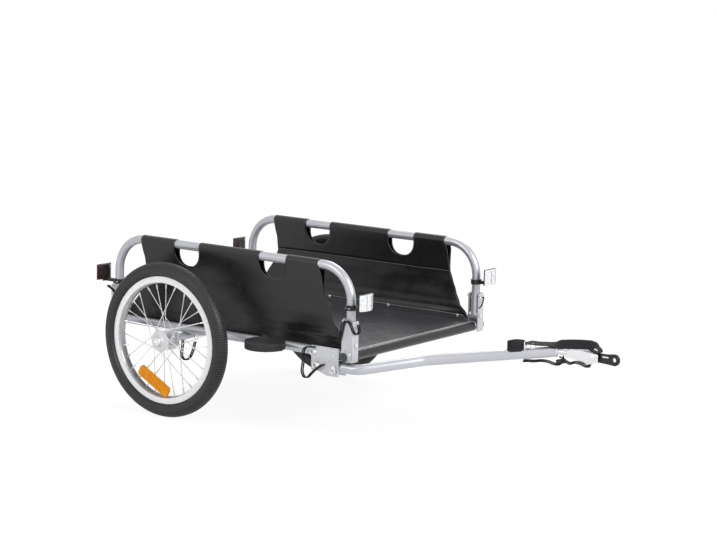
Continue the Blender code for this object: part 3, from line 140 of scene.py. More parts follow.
class Nodes:
    """The node tree of a material or a world, with short calls to add and join nodes."""

    def __init__(self, owner, empty=False):
        owner.use_nodes = True
        self.owner = owner
        self.tree = owner.node_tree
        self.shader = self.tree.nodes.get("Principled BSDF")
        if empty:
            self.tree.nodes.clear()

    def add(self, kind, **settings):
        """A new node. Each setting is an input, its words joined by underscores, or an attribute."""
        node = self.tree.nodes.new("ShaderNode" + kind)
        for key, value in settings.items():
            if key.replace("_", " ") in node.inputs:
                node.inputs[key.replace("_", " ")].default_value = value
            else:
                setattr(node, key, value)
        return node

    def join(self, source, target, name=0):
        out = source if isinstance(source, bpy.types.NodeSocket) else source.outputs[0]
        self.tree.links.new(out, target.inputs[name])

    def set(self, **settings):
        for key, value in settings.items():
            self.shader.inputs[key.replace("_", " ")].default_value = value

    def coordinates(self, kind="Object"):
        return self.add("TexCoord").outputs[kind]

    def noise(self, scale, detail=3.0):
        made = self.add("TexNoise", Scale=scale, Detail=detail)
        self.join(self.coordinates(), made, "Vector")
        return made

    def waves(self, vector, direction, scale):
        made = self.add("TexWave", wave_type="BANDS", bands_direction=direction, Scale=scale)
        self.join(vector, made, "Vector")
        return made.outputs["Fac"]

    def ramp(self, source, low, high, from_low=0.3, from_high=0.7):
        made = self.add("MapRange", From_Min=from_low, From_Max=from_high, To_Min=low, To_Max=high)
        self.join(source, made, "Value")
        return made

    def math(self, operation, first, second):
        made = self.add("Math", operation=operation)
        for index, value in enumerate((first, second)):
            if isinstance(value, float):
                made.inputs[index].default_value = value
            else:
                self.join(value, made, index)
        return made

    def base_colour(self, source, colour, dark, light):
        """A colour that wanders between a darker and a lighter tone of itself."""
        low = tuple(value * dark for value in colour)
        high = tuple(min(1.0, value * light) for value in colour)
        made = self.add("Mix", data_type="RGBA", A=(*low, 1.0), B=(*high, 1.0))
        self.join(source, made)
        self.join(next(out for out in made.outputs if out.type == "RGBA"), self.shader, "Base Color")

    def roughness(self, source, middle, low, high):
        self.join(self.ramp(source, middle * low, middle * high), self.shader, "Roughness")

    def bump(self, height, strength, distance):
        made = self.add("Bump", Strength=strength, Distance=distance)
        self.join(height, made, "Height")
        self.join(made, self.shader, "Normal")

    def blend(self, share, first, second, out):
        """Two shaders mixed by a share and led to an output."""
        made = self.add("MixShader")
        for index, source in enumerate((share, first, second)):
            self.join(source, made, index)
        self.join(made, out, "Surface")


def surface(name, colour, roughness, mottle, tones, sheens, grain, reach=(0.0, 1.0), metallic=0.0):
    """A plain material whose tone and sheen wander slowly, over a fine grain.

    mottle is a noise's scale and detail, tones and sheens are (lowest, highest) shares, grain is the
    scale, strength and distance of the bumps, and reach is the part of the noise that the tones span.
    """
    nodes = Nodes(bpy.data.materials.new(name))
    broad = nodes.noise(*mottle)
    nodes.set(Metallic=metallic)
    nodes.base_colour(nodes.ramp(broad, 0.0, 1.0, *reach), colour, *tones)
    nodes.roughness(broad, roughness, *sheens)
    nodes.bump(nodes.noise(grain[0]), *grain[1:])
    return nodes.owner


def paint(name, colour, metallic, roughness, flake=0.02):
    """Painted or plated metal."""
    tones = (1 - flake * 2, 1 + flake * 2)
    grain = (1100.0, 0.05, 0.0004)
    return surface(name, colour, roughness, (7.0, 5.0), tones, (0.85, 1.25), grain, (0.3, 0.7), metallic)


def plastic(name, colour, roughness):
    return surface(name, colour, roughness, (14.0, 4.0), (0.85, 1.2), (0.85, 1.2), (600.0, 0.12, 0.0005))


def rubber(name, colour, roughness):
    return surface(name, colour, roughness, (22.0, 5.0), (0.8, 1.35), (0.9, 1.15), (700.0, 0.15, 0.0005))


WEAVE_PITCH = 0.0016
WEAVE_SCALE = 2.0 / (WEAVE_PITCH * 6.2832)


def coated_fabric(name, colour, roughness, wrinkle, gloss, relief):
    """Coated woven sheet: a fine weave under a smooth coat, with faint handling marks."""
    nodes = Nodes(bpy.data.materials.new(name))
    uv = nodes.coordinates("UV")
    weave = nodes.math("MULTIPLY", nodes.waves(uv, "X", WEAVE_SCALE), nodes.waves(uv, "Y", WEAVE_SCALE))
    crumple = nodes.noise(55.0, 6.0)
    nodes.set(Specular_IOR_Level=gloss)
    nodes.base_colour(nodes.noise(9.0, 5.0), colour, 0.86, 1.22)
    nodes.roughness(crumple, roughness, 0.85, 1.2)
    height = nodes.math("ADD", nodes.math("MULTIPLY", weave, 0.12), nodes.math("MULTIPLY", crumple, wrinkle))
    nodes.bump(height, relief, 0.0012)
    return nodes.owner


def webbing(name, colour):
    """Narrow woven strap: a ribbed face along its length."""
    nodes = Nodes(bpy.data.materials.new(name))
    uv = nodes.coordinates("UV")
    weave = nodes.math("MULTIPLY", nodes.waves(uv, "X", 110.0), nodes.waves(uv, "Y", 160.0))
    nodes.set(Roughness=0.7, Specular_IOR_Level=0.3)
    nodes.base_colour(weave, colour, 0.6, 1.7)
    nodes.bump(weave, 0.5, 0.0008)
    return nodes.owner


def lens(
    name, colour, cells, direction="Y", ribs=210.0, strength=0.4, roughness=0.16, mottle=150.0, coat=0.5,
    dark=0.55, light=1.18,
):
    """Moulded reflector lens: rows of fine prisms between ribs, under a glossy face."""
    nodes = Nodes(bpy.data.materials.new(name))
    place = nodes.coordinates()
    prisms = nodes.add("TexVoronoi", Scale=cells, feature="F1", distance="CHEBYCHEV")
    nodes.join(place, prisms, "Vector")
    lines = nodes.waves(place, direction, ribs)
    patches = nodes.math("MULTIPLY", nodes.noise(mottle), 0.75)
    tone = nodes.math("ADD", nodes.math("MULTIPLY", lines, 0.25), patches)
    nodes.set(Roughness=roughness, Coat_Weight=coat, Coat_Roughness=0.06, Specular_IOR_Level=coat)
    nodes.base_colour(nodes.ramp(tone, 0.0, 1.0, 0.2, 0.8), colour, dark, light)
    nodes.bump(nodes.math("ADD", prisms.outputs["Distance"], lines), strength, 0.0006)
    return nodes.owner


SILVER = paint("silver_paint_detailed", (0.50, 0.51, 0.545), 0.55, 0.30)
BRACKET_SILVER = paint("bracket_silver", (0.56, 0.565, 0.59), 0.5, 0.32, 0.06)
ZINC = paint("zinc_detailed", (0.78, 0.78, 0.80), 0.8, 0.28, 0.04)
DARK_ZINC = paint("dark_zinc", (0.30, 0.30, 0.32), 0.6, 0.36, 0.03)
BLACK_STEEL = paint("black_steel_detailed", (0.014, 0.014, 0.016), 0.25, 0.34)
RIM_WHITE = paint("rim_detailed", (0.96, 0.96, 0.97), 0.10, 0.30, 0.01)
RIM_GREY = paint("rim_inner_detailed", (0.50, 0.50, 0.52), 0.55, 0.34, 0.03)
HUB_STEEL = paint("hub_steel", (0.66, 0.66, 0.68), 0.6, 0.30, 0.03)
SPOKE_STEEL = paint("spoke_detailed", (0.74, 0.74, 0.76), 0.9, 0.24, 0.02)
BLACK_PLASTIC = plastic("black_plastic_detailed", (0.012, 0.012, 0.013), 0.40)
PLUG_GREY = plastic("plug_grey", (0.040, 0.041, 0.045), 0.45)
ROLLER_BLACK = plastic("roller_black", (0.011, 0.011, 0.012), 0.50)
LENS_EDGE = plastic("lens_edge", (0.36, 0.36, 0.38), 0.3)
TYRE = rubber("tyre_detailed", (0.012, 0.012, 0.013), 0.44)
# Lighter rubber on the tread blocks' tops is a painted highlight, and darker rubber between them is painted
# shade
TREAD_TOP_PAINTED_HIGHLIGHT = rubber("tread_top_painted_highlight", (0.034, 0.034, 0.036), 0.40)
TREAD_GAP_PAINTED_SHADE = rubber("tread_gap_painted_shade", (0.006, 0.006, 0.006), 0.7)
FABRIC = coated_fabric("sling_fabric", (0.0085, 0.0085, 0.0093), 0.31, 0.12, 0.44, 0.16)
# The floor is painted lighter than the side sheets' fabric of the same coated cloth: a painted sheen
FLOOR_FABRIC_PAINTED_SHEEN = coated_fabric("floor_painted_sheen_fabric", (0.036, 0.036, 0.040), 0.36, 0.0, 0.60, 0.002)
# Pale piping along the floor's seam: a painted highlight
SEAM_PIPING_PAINTED_HIGHLIGHT = coated_fabric("seam_piping_painted_highlight", (0.22, 0.22, 0.23), 0.4, 0.0, 0.5, 0.05)
# Pale line along the sleeves' seam: a painted highlight on the crease
SLEEVE_SEAM_PAINTED_HIGHLIGHT = coated_fabric("sleeve_seam_painted_highlight", (0.090, 0.090, 0.096), 0.3, 0.0, 0.6, 0.05)
# Pale piping on top of the floor's wraps: a painted highlight on the roll over the cross tubes
FLOOR_END_PAINTED_HIGHLIGHT = coated_fabric("floor_end_painted_highlight", (0.30, 0.30, 0.31), 0.3, 0.0, 0.6, 0.05)
WEBBING = webbing("webbing_detailed", (0.013, 0.013, 0.015))
CORD = webbing("cord_detailed", (0.009, 0.009, 0.010))
WHITE_LENS = lens("white_lens_detailed", (0.80, 0.81, 0.83), 620.0)
RED_LENS = lens("red_lens_detailed", (0.30, 0.006, 0.008), 520.0)
# Darker red for the lens's side facets: painted shade of the same red lens
RED_SIDE_PAINTED_SHADE = lens("red_side_painted_shade", (0.035, 0.003, 0.005), 520.0, strength=0.3, roughness=0.1)
ORANGE_LENS = lens(
    "orange_lens_detailed", (1.0, 0.29, 0.004), 300.0, "DIAGONAL", 45.0, 0.3, mottle=45.0, coat=0.1,
    dark=0.72, light=1.4,
)

CAD_MATERIALS = {
    "silver_paint": SILVER,
    "bright_zinc": ZINC,
    "black_plastic": BLACK_PLASTIC,
    "black_steel": BLACK_STEEL,
    "tyre_rubber": TYRE,
    "rim": RIM_WHITE,
    "spoke_steel": SPOKE_STEEL,
    "coated_fabric": FABRIC,
    "webbing": WEBBING,
    "black_cord": CORD,
    "white_lens": WHITE_LENS,
    "red_lens": RED_LENS,
    "orange_lens": ORANGE_LENS,
}
NODE_MATERIALS = {
    "fold_bracket": BRACKET_SILVER,
    "tow_bracket": BRACKET_SILVER,
    "tube_plug": PLUG_GREY,
    "bumper_roller": ROLLER_BLACK,
}


def dress_solids():
    """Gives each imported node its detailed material."""
    for row in frame["record"]["subparts"]:
        finish = CAD_MATERIALS[row["material_slot"]]
        for ending, material in NODE_MATERIALS.items():
            if row["node"].endswith(ending):
                finish = material
        data = NODES[row["node"]].data
        data.materials.clear()
        data.materials.append(finish)


# Mesh helpers


def linked(name, data):
    made = bpy.data.objects.new(name, data)
    bpy.context.scene.collection.objects.link(made)
    return made


def assign(made, body=None, node=None):
    """Hides the solid that a piece stands for and sets the piece on the body that it rides on."""
    if node:
        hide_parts(node)
    if body:
        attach(made, body)
    return made


def smoothed(data, angle):
    data.shade_smooth()
    data.set_sharp_from_angle(angle=math.radians(angle))


def reshape(data, work):
    """Runs a change on a mesh's faces."""
    shape = bmesh.new()
    shape.from_mesh(data)
    work(shape)
    shape.to_mesh(data)
    shape.free()


def face_outwards(shape):
    bmesh.ops.recalc_face_normals(shape, faces=shape.faces)


def piece(name, verts, faces, material, uv=None, angle=40.0):
    """A mesh piece from points in the frame's coordinates."""
    data = bpy.data.meshes.new(name)
    data.from_pydata([tuple(v) for v in verts], [], faces)
    reshape(data, face_outwards)
    if uv is not None:
        layer = data.uv_layers.new(name="UVMap")
        for loop in data.loops:
            layer.data[loop.index].uv = uv[loop.vertex_index]
    data.materials.append(material)
    smoothed(data, angle)
    return linked(name, data)


def modify(thing, kind, **settings):
    step = thing.modifiers.new(kind.lower(), kind)
    for key, value in settings.items():
        setattr(step, key, value)


def apply_modifiers(thing):
    bpy.context.view_layer.update()
    graph = bpy.context.evaluated_depsgraph_get()
    data = bpy.data.meshes.new_from_object(thing.evaluated_get(graph))
    thing.modifiers.clear()
    thing.data = data


def bands(rows, count, closed=False):
    """Quads between rings of points that follow each other. The last ring may meet the first."""
    faces = []
    for row in range(rows if closed else rows - 1):
        after = (row + 1) % rows
        for number in range(count):
            beside = (number + 1) % count
            corners = (row * count + number, row * count + beside, after * count + beside)
            faces.append((*corners, after * count + number))
    return faces


def caps(rows, count):
    """Flat faces over the first and the last ring of points."""
    return [tuple(range(count))[::-1], tuple((rows - 1) * count + number for number in range(count))]


def mirrored(rows):
    """Rows of (a, b) or (a, b, radius), then the same with b reversed, in the opposite order."""
    return [*rows, *((row[0], -row[1], *row[2:]) for row in reversed(rows))]


def frames_along(path, up):
    """(place, side, up) at each point, carried along the path without twist."""
    path = [Vector(p) for p in path]
    rows = []
    for index, place in enumerate(path):
        before = path[max(index - 1, 0)]
        after = path[min(index + 1, len(path) - 1)]
        along = (after - before).normalized()
        if not rows:
            side = along.cross(up)
            if side.length < 1e-6:
                side = along.cross(X_AXIS)
            side.normalize()
        else:
            side = rows[-1][1]
            side = (side - along * side.dot(along)).normalized()
        rows.append((place, side, side.cross(along)))
    return rows


SEAM_WIDTH = 0.05  # width of the pattern round a swept piece


def sweep(name, path, section, material, up=Z_AXIS):
    """A solid from a closed section of (side, up) points carried along a path."""
    rows = frames_along(path, up)
    count = len(section)
    verts = []
    uv = []
    run = 0.0
    for index, (place, side, above) in enumerate(rows):
        if index:
            run += (place - rows[index - 1][0]).length
        for number, (across, high) in enumerate(section):
            verts.append(place + side * across + above * high)
            uv.append((run, number / count * SEAM_WIDTH))
    return piece(name, verts, bands(len(rows), count) + caps(len(rows), count), material, uv)


def round_section(radius, sides=16):
    angles = [2 * math.pi * step / sides for step in range(sides)]
    return [(radius * math.cos(angle), radius * math.sin(angle)) for angle in angles]


def smooth_route(points, spacing):
    """Evenly spaced points along one smooth curve through the given ones."""
    points = [Vector(point) for point in points]
    padded = [2 * points[0] - points[1], *points, 2 * points[-1] - points[-2]]
    fine = []
    for before, start, end, after in zip(padded, padded[1:], padded[2:], padded[3:]):
        for step in range(16):
            t = step / 16
            fine.append(
                start
                + 0.5 * (end - before) * t
                + 0.5 * (2 * before - 5 * start + 4 * end - after) * t**2
                + 0.5 * (3 * start - before - 3 * end + after) * t**3
            )
    fine.append(points[-1])
    along = [0.0]
    for start, end in zip(fine, fine[1:]):
        along.append(along[-1] + (end - start).length)
    count = max(2, round(along[-1] / spacing))
    path = []
    place = 0
    for step in range(count + 1):
        wanted = along[-1] * step / count
        while place < len(along) - 2 and along[place + 1] < wanted:
            place += 1
        share = (wanted - along[place]) / (along[place + 1] - along[place])
        path.append(fine[place].lerp(fine[place + 1], share))
    return path


def length_of(path):
    return sum((b - a).length for a, b in zip(path, path[1:]))


def weld_lathe(shape):
    bmesh.ops.remove_doubles(shape, verts=shape.verts, dist=1e-6)
    bmesh.ops.dissolve_degenerate(shape, edges=shape.edges, dist=1e-7)
    face_outwards(shape)


def lathe(name, profile, centre, axis, material, steps=128, angle=35.0):
    """A solid of revolution from a loop of (radius, height) points."""
    turn = Z_AXIS.rotation_difference(Vector(axis)).to_matrix()
    verts = []
    for step in range(steps):
        a = 2 * math.pi * step / steps
        for radius, height in profile:
            verts.append(centre + turn @ Vector((radius * math.cos(a), radius * math.sin(a), height)))
    made = piece(name, verts, bands(steps, len(profile), closed=True), material, angle=angle)
    reshape(made.data, weld_lathe)
    return made


def joined(name, things, body=None, node=None):
    """One piece from several."""
    shape = bmesh.new()
    materials = []
    for thing in things:
        start = len(shape.faces)
        copy = thing.data.copy()
        copy.transform(thing.matrix_world)
        shape.from_mesh(copy)
        shape.faces.ensure_lookup_table()
        for face in shape.faces[start:]:
            material = thing.data.materials[face.material_index]
            if material not in materials:
                materials.append(material)
            face.material_index = materials.index(material)
        bpy.data.meshes.remove(copy)
    data = bpy.data.meshes.new(name)
    shape.to_mesh(data)
    shape.free()
    for thing in things:
        bpy.data.objects.remove(thing, do_unlink=True)
    for material in materials:
        data.materials.append(material)
    return assign(linked(name, data), body, node)


def rod(start, end, radius, material, edge=0.0005, sides=24):
    """A round bar with rounded ends between two points."""
    start, end = Vector(start), Vector(end)
    height = (end - start).length
    edge = min(edge, radius * 0.9, height / 2.5)
    profile = [
        (0.0, 0.0), (radius - edge, 0.0), (radius - edge * 0.3, edge * 0.3), (radius, edge),
        (radius, height - edge), (radius - edge * 0.3, height - edge * 0.3), (radius - edge, height),
        (0.0, height),
    ]
    return lathe("rod", profile, start, end - start, material, sides)


def bore(place, axis, reach, radius, sides=24):
    """A round cutter that reaches as far on both sides of a place."""
    return rod(place - axis * reach, place + axis * reach, radius, SILVER, sides=sides)


def ring(centre, normal, radius, wire, material, sides=10, steps=32):
    """A closed wire ring."""
    profile = [(radius + out, up) for out, up in round_section(wire, sides)]
    return lathe("ring", profile, Vector(centre), normal, material, steps, 80.0)


def arc(centre, first, last, turn, steps):
    """Points round a centre from one offset to another."""
    points = []
    for step in range(steps + 1):
        share = step / steps
        points.append(
            centre
            + first * math.sin((1 - share) * turn) / math.sin(turn)
            + last * math.sin(share * turn) / math.sin(turn)
        )
    return points


def rounded_path(corners, radius, steps=20):
    """Straight runs joined by arcs."""
    corners = [Vector(corner) for corner in corners]
    path = [corners[0]]
    for before, corner, after in zip(corners, corners[1:], corners[2:]):
        into = (corner - before).normalized()
        out = (after - corner).normalized()
        turn = into.angle(out)
        centre = corner + (out - into).normalized() * radius / math.cos(turn / 2)
        first = corner - into * radius * math.tan(turn / 2) - centre
        last = corner + out * radius * math.tan(turn / 2) - centre
        path += arc(centre, first, last, turn, steps)
    path.append(corners[-1])
    return path


def rounded_outline(corners, steps=6):
    """Points of a flat outline from (a, b, corner radius) rows."""
    points = []
    for index, (a, b, radius) in enumerate(corners):
        here = Vector((a, b))
        before = Vector(corners[index - 1][:2])
        after = Vector(corners[(index + 1) % len(corners)][:2])
        if radius <= 0.0:
            points.append(here)
            continue
        into = (before - here).normalized()
        out = (after - here).normalized()
        half = into.angle(out) / 2
        centre = here + (into + out).normalized() * radius / math.sin(half)
        first = here + into * radius / math.tan(half) - centre
        last = here + out * radius / math.tan(half) - centre
        points += arc(centre, first, last, math.pi - 2 * half, steps)
    return points


def slab(outline, u, v, place, thickness, material, edge=0.0004):
    """A plate with broken edges: its outline lies along u and v from place, and it rises along u x v."""
    u, v, place = Vector(u), Vector(v), Vector(place)
    rise = u.cross(v).normalized()
    count = len(outline)
    area = sum(a[0] * b[1] - b[0] * a[1] for a, b in zip(outline[-1:] + outline, outline))
    way = 1 if area > 0 else -1
    edge = min(edge, thickness / 2.5)
    verts = []
    for inset, height in ((edge, 0.0), (0.0, edge), (0.0, thickness - edge), (edge, thickness)):
        for index, (a, b) in enumerate(outline):
            before = outline[index - 1]
            after = outline[(index + 1) % count]
            tangent = Vector((after[0] - before[0], after[1] - before[1])).normalized()
            inwards = Vector((-tangent.y, tangent.x)) * way * inset
            verts.append(place + u * (a + inwards.x) + v * (b + inwards.y) + rise * height)
    return piece("slab", verts, caps(4, count) + bands(4, count), material, angle=30.0)


def brick(low, high):
    """A box-shaped cutter between two corners."""
    low, high = Vector(low), Vector(high)
    outline = [(low.x, low.y), (high.x, low.y), (high.x, high.y), (low.x, high.y)]
    return slab(outline, X_AXIS, Y_AXIS, (0.0, 0.0, low.z), high.z - low.z, SILVER)


def cut(thing, operation, cutters):
    """Combines a piece with other shapes, which are used up."""
    for cutter in cutters:
        modify(thing, "BOOLEAN", operation=operation, solver="EXACT", object=cutter)
    apply_modifiers(thing)
    for cutter in cutters:
        bpy.data.objects.remove(cutter, do_unlink=True)


def carve(thing, *cutters):
    """Takes the cutters' shapes out of a piece."""
    cut(thing, "DIFFERENCE", cutters)
    smoothed(thing.data, 35)


def copied(node, name, material):
    """A piece with a node's own shape."""
    made = linked(name, NODES[node].data.copy())
    made.data.materials.clear()
    made.data.materials.append(material)
    return made


def rounded_edges(made, width, angle):
    modify(made, "BEVEL", width=width, segments=3, limit_method="ANGLE", angle_limit=math.radians(angle))


def worn(node, material, body, edge=0.0007, extras=(), name=None):
    """A node's own shape with rounded edges, and the small pieces that belong to it."""
    name = name or f"{node}_worn"
    made = copied(node, name, material)
    rounded_edges(made, edge, 40)
    modify(made, "WEIGHTED_NORMAL", keep_sharp=True)
    apply_modifiers(made)
    smoothed(made.data, 38)
    if extras:
        made = joined(name, [made, *extras])
    assign(made, body, node)


# Tubes


WELD_WIRE = 0.0012
WELD_ROUGHNESS = 0.0006
CROSS_WELDS = (-0.0106, 0.0160)  # where a cross tube enters a fold bracket, from the rail's plane
RAIL_WELD_INSET = 0.0004


def weld_bead(centre, axis, radius, material):
    """The uneven ring of a weld round a tube."""
    made = ring(centre, axis, radius, WELD_WIRE, material, 8, 48)
    for vertex in made.data.vertices:
        shift = noise.noise(vertex.co * 420.0)
        vertex.co += (vertex.co - Vector(centre)).normalized() * WELD_ROUGHNESS * shift
    return made


SPAN = (-1.0, -0.5, 0.0, 0.5, 1.0)  # shares of half a straight tube's length


def smooth_tube(name, node, path, extras, holes=(), body="frame"):
    """A round frame tube with holes cut through it, and the small pieces that belong to it."""
    made = sweep("tube", path, round_section(TUBE_RADIUS, TUBE_SIDES), SILVER, Y_AXIS)
    if holes:
        carve(made, *holes)
    joined(name, [made, *extras], body, node)


def frame_tubes():
    """Cross tubes and side rails with their welds, the right rail bored for the tow bracket's pin."""
    for end, way in ENDS.items():
        path = [bed(way * HALF_BED, CROSS_REACH * share, RAIL_Z) for share in SPAN]
        beads = []
        for hand in SIDES.values():
            for offset in CROSS_WELDS:
                place = bed(way * HALF_BED, hand * (RAIL_Y + offset), RAIL_Z)
                beads.append(weld_bead(place, Y_AXIS, TUBE_RADIUS, SILVER))
        smooth_tube(f"{end}_tube_smooth", f"{end}_cross_tube", path, beads)
    reach = HALF_BED - BRACKET_HALF_WIDTH - CLEARANCE
    for side, hand in SIDES.items():
        path = [bed(reach * share, hand * RAIL_Y, RAIL_Z) for share in SPAN]
        beads = []
        for way in (-1, 1):
            place = bed(way * (reach - RAIL_WELD_INSET), hand * RAIL_Y, RAIL_Z)
            beads.append(weld_bead(place, X_AXIS, TUBE_RADIUS, SILVER))
        holes = []
        if side == "right":
            place = bed(BRACKET_PIN_X, -RAIL_Y, RAIL_Z)
            holes.append(bore(place, Y_AXIS, 0.03, BRACKET_PIN_RADIUS + CLEARANCE))
        smooth_tube(f"{side}_rail_smooth", f"{side}_side_rail", path, beads, holes)


def hoop(side, hand):
    """Smooth bent tube with its two hinge barrels and the slots that free the lock pins."""
    y = hand * RAIL_Y
    outer = y + hand * 2 * TUBE_RADIUS
    corners = [bed(x, y, z) for z, x in mirrored([(HINGE_Z, HALF_BED), (HOOP_Z, HALF_BED)])]
    slot = LOCK_PIN_RADIUS + 2 * CLEARANCE
    half = BARREL_LENGTH / 2
    hole = HINGE_PIN_RADIUS + CLEARANCE
    profile = mirrored([(hole, -half), (BARREL_RADIUS - 0.0006, -half), (BARREL_RADIUS, -half + 0.0006)])
    cutters = []
    barrels = []
    for way in (-1, 1):
        x = way * HALF_BED
        low, high = x - BARREL_LENGTH, x + BARREL_LENGTH
        floor = LOCK_PIN_Z - slot - 0.0015
        cutters.append(brick(bed(low, min(y, outer), floor), bed(high, max(y, outer), LOCK_PIN_Z + slot)))
        for z, radius in ((LOCK_PIN_Z, slot), (HINGE_Z, BARREL_RADIUS - 0.0010)):
            cutters.append(rod(bed(low, y, z), bed(high, y, z), radius, SILVER))
        barrels.append(lathe("barrel", profile, bed(x, y, HINGE_Z), X_AXIS, SILVER, 40))
    path = rounded_path(corners, HOOP_BEND, 24)
    smooth_tube(f"{side}_hoop_smooth", f"{side}_hoop", path, barrels, cutters, f"{side}_side")


def threaded(start, end, radius, material, pitch=0.0016):
    """A rod with fine rings for its thread."""
    height = (end - start).length
    profile = [(0.0, 0.0), (radius - 0.0006, 0.0)]
    count = int(height / pitch)
    for step in range(count):
        low = height * (step + 0.25) / count
        high = height * (step + 0.75) / count
        profile += [(radius, low), (radius - 0.0006, high)]
    profile += [(radius - 0.0008, height), (0.0, height)]
    return lathe("thread", profile, start, end - start, material, 32, 25.0)


def arm():
    """Smooth bent tow arm: rounded end on its pivot, lock slot, end plug and threaded stud."""
    tip = bed(*ARM_TIP)
    pivot = bed(*ARM_PIVOT)
    lock = bed(*ARM_LOCK)
    path = rounded_path([pivot, bed(*ARM_KNEE), bed(*ARM_ELBOW), tip], ARM_BEND, 18)
    made = sweep("tube", path, round_section(ARM_RADIUS, ARM_SIDES), SILVER)
    across = 2 * ARM_RADIUS
    spacing = (ARM_LOCK - ARM_PIVOT).length
    swing = spacing - math.sqrt(spacing**2 - ARM_RADIUS**2)
    width = TOW_PIN_RADIUS + 2 * CLEARANCE
    carve(
        made,
        brick(lock - Vector((width + swing, across, 0.0)), lock + Vector((width, across, across))),
        bore(lock, Y_AXIS, across, width),
        bore(pivot, Y_AXIS, across, TOW_PIN_RADIUS + CLEARANCE),
    )
    end_cap = bore(pivot, Y_AXIS, ARM_RADIUS, ARM_RADIUS, ARM_SIDES)
    carve(end_cap, bore(pivot, Y_AXIS, across, TOW_PIN_RADIUS + CLEARANCE))
    profile = [
        (0.0, -0.0080), (0.0085, -0.0080), (0.0085, -0.0004), (ARM_RADIUS - 0.0004, -0.0004),
        (ARM_RADIUS - 0.0002, 0.0008), (ARM_RADIUS - 0.0014, 0.0019), (0.0, 0.0020),
    ]
    plug = lathe("plug", profile, tip, (ARM_TIP - ARM_ELBOW).normalized(), ZINC, ARM_SIDES)
    stud = threaded(tip - X_AXIS * STUD_BEHIND, tip + X_AXIS * STUD_AHEAD, STUD_RADIUS, ZINC)
    joined("tow_arm_smooth", [made, end_cap, plug, stud], "arm", "tow_arm")


# Pins

PULL_RING_RADIUS = 0.0070
LOCK_NOSE = 0.0010  # how far a pin's nose stands past what it goes through
PIN_NOSE = 0.0020
TOW_HEAD_STEP = 0.0022  # how much wider a tow pin's head is, in radius


def pull_pin(node, body, tip, head, radius, head_radius, ring_side):
    """A straight pin with a rounded nose, a stepped head and a thin wire pull ring."""
    along = (head - tip).normalized()
    length = (head - tip).length
    thick = 0.9 * radius
    wire = 0.35 * radius
    top = length + thick
    profile = [
        (0.0, 0.0), (radius * 0.55, 0.0), (radius * 0.85, radius * 0.18), (radius, radius * 0.5),
        (radius, length), (head_radius - 0.0005, length), (head_radius, length + 0.0005),
        (head_radius, top - 0.0006), (head_radius - 0.0007, top), (head_radius * 0.55, top),
        (head_radius * 0.45, top + wire), (0.0, top + wire),
    ]
    pin = lathe("pin", profile, tip, along, ZINC, 28)
    centre = head + along * (thick + wire) + ring_side * (PULL_RING_RADIUS - wire)
    loop = ring(centre, along, PULL_RING_RADIUS, wire * 0.85, ZINC)
    joined(f"{node}_detailed", [pin, loop], body, node)


def pins():
    reach = BRACKET_HALF_WIDTH + CLEARANCE
    for end, way in ENDS.items():
        for side, hand in SIDES.items():
            place = bed(way * HALF_BED, hand * RAIL_Y, LOCK_PIN_Z)
            tip = place + X_AXIS * (reach + LOCK_NOSE)
            head = place - X_AXIS * reach
            name = f"{end}_{side}_lock"
            pull_pin(f"{name}_pin", name, tip, head, LOCK_PIN_RADIUS, LOCK_HEAD_RADIUS, Z_AXIS)
    for side, hand in SIDES.items():
        place = bed(WHEEL_X, hand * RELEASE_PIN_Y, AXLE_Z)
        tip = place - X_AXIS * (BEAM_RADIUS + PIN_NOSE)
        head = place + X_AXIS * (BEAM_RADIUS + CLEARANCE)
        name = f"{side}_wheel_release"
        pull_pin(f"{name}_pin", name, tip, head, RELEASE_PIN_RADIUS, RELEASE_HEAD_RADIUS, -Z_AXIS)
    past = PLATE_FACE + PIN_NOSE
    upper = Vector((BRACKET_PIN_X, -RAIL_Y, RAIL_Z))
    rows = (
        ("tow_pivot_pin", "frame", ARM_PIVOT, TOW_PIN_RADIUS, past, -X_AXIS),
        ("tow_lock_pin", "arm_lock", ARM_LOCK, TOW_PIN_RADIUS, past, -Z_AXIS),
        ("tow_bracket_pin", "bracket_pin", upper, BRACKET_PIN_RADIUS, TUBE_RADIUS + PIN_NOSE, -X_AXIS),
    )
    for node, body, place, radius, reach, ring_side in rows:
        place = bed(*place)
        tip = place + Y_AXIS * reach
        head = place - Y_AXIS * (PLATE_FACE + CLEARANCE)
        pull_pin(node, body, tip, head, radius, radius + TOW_HEAD_STEP, ring_side)


# Brackets, plugs and rollers


def fold_bracket(end, side):
    """The channel with rounded edges, welds where the cross tube enters, and a rounded pin head."""
    hand = SIDES[side]
    x = ENDS[end] * HALF_BED
    face = bed(x, hand * (RAIL_Y + BRACKET_FACE), RAIL_Z)
    extras = [weld_bead(face, Y_AXIS, TUBE_RADIUS + 0.0006, BRACKET_SILVER)]
    for away in (-1, 1):
        place = bed(x + away * (BRACKET_HALF_WIDTH + 0.0018), hand * RAIL_Y, HINGE_Z)
        extras.append(rod(place, place + X_AXIS * away * 0.0012, 0.0052, ZINC, 0.0009))
    worn(f"{end}_{side}_fold_bracket", BRACKET_SILVER, "frame", 0.0009, extras)


RIB_Z = 0.1905
RIB_CORNERS = ((0.2700, 0.0), (0.2700, 0.0050), (0.3160, 0.0050), (0.3160, 0.0))
RIVETS = ((0.3320, 0.1700), (0.2690, 0.1740))
SPOT_WELDS = (0.2820, 0.3230)


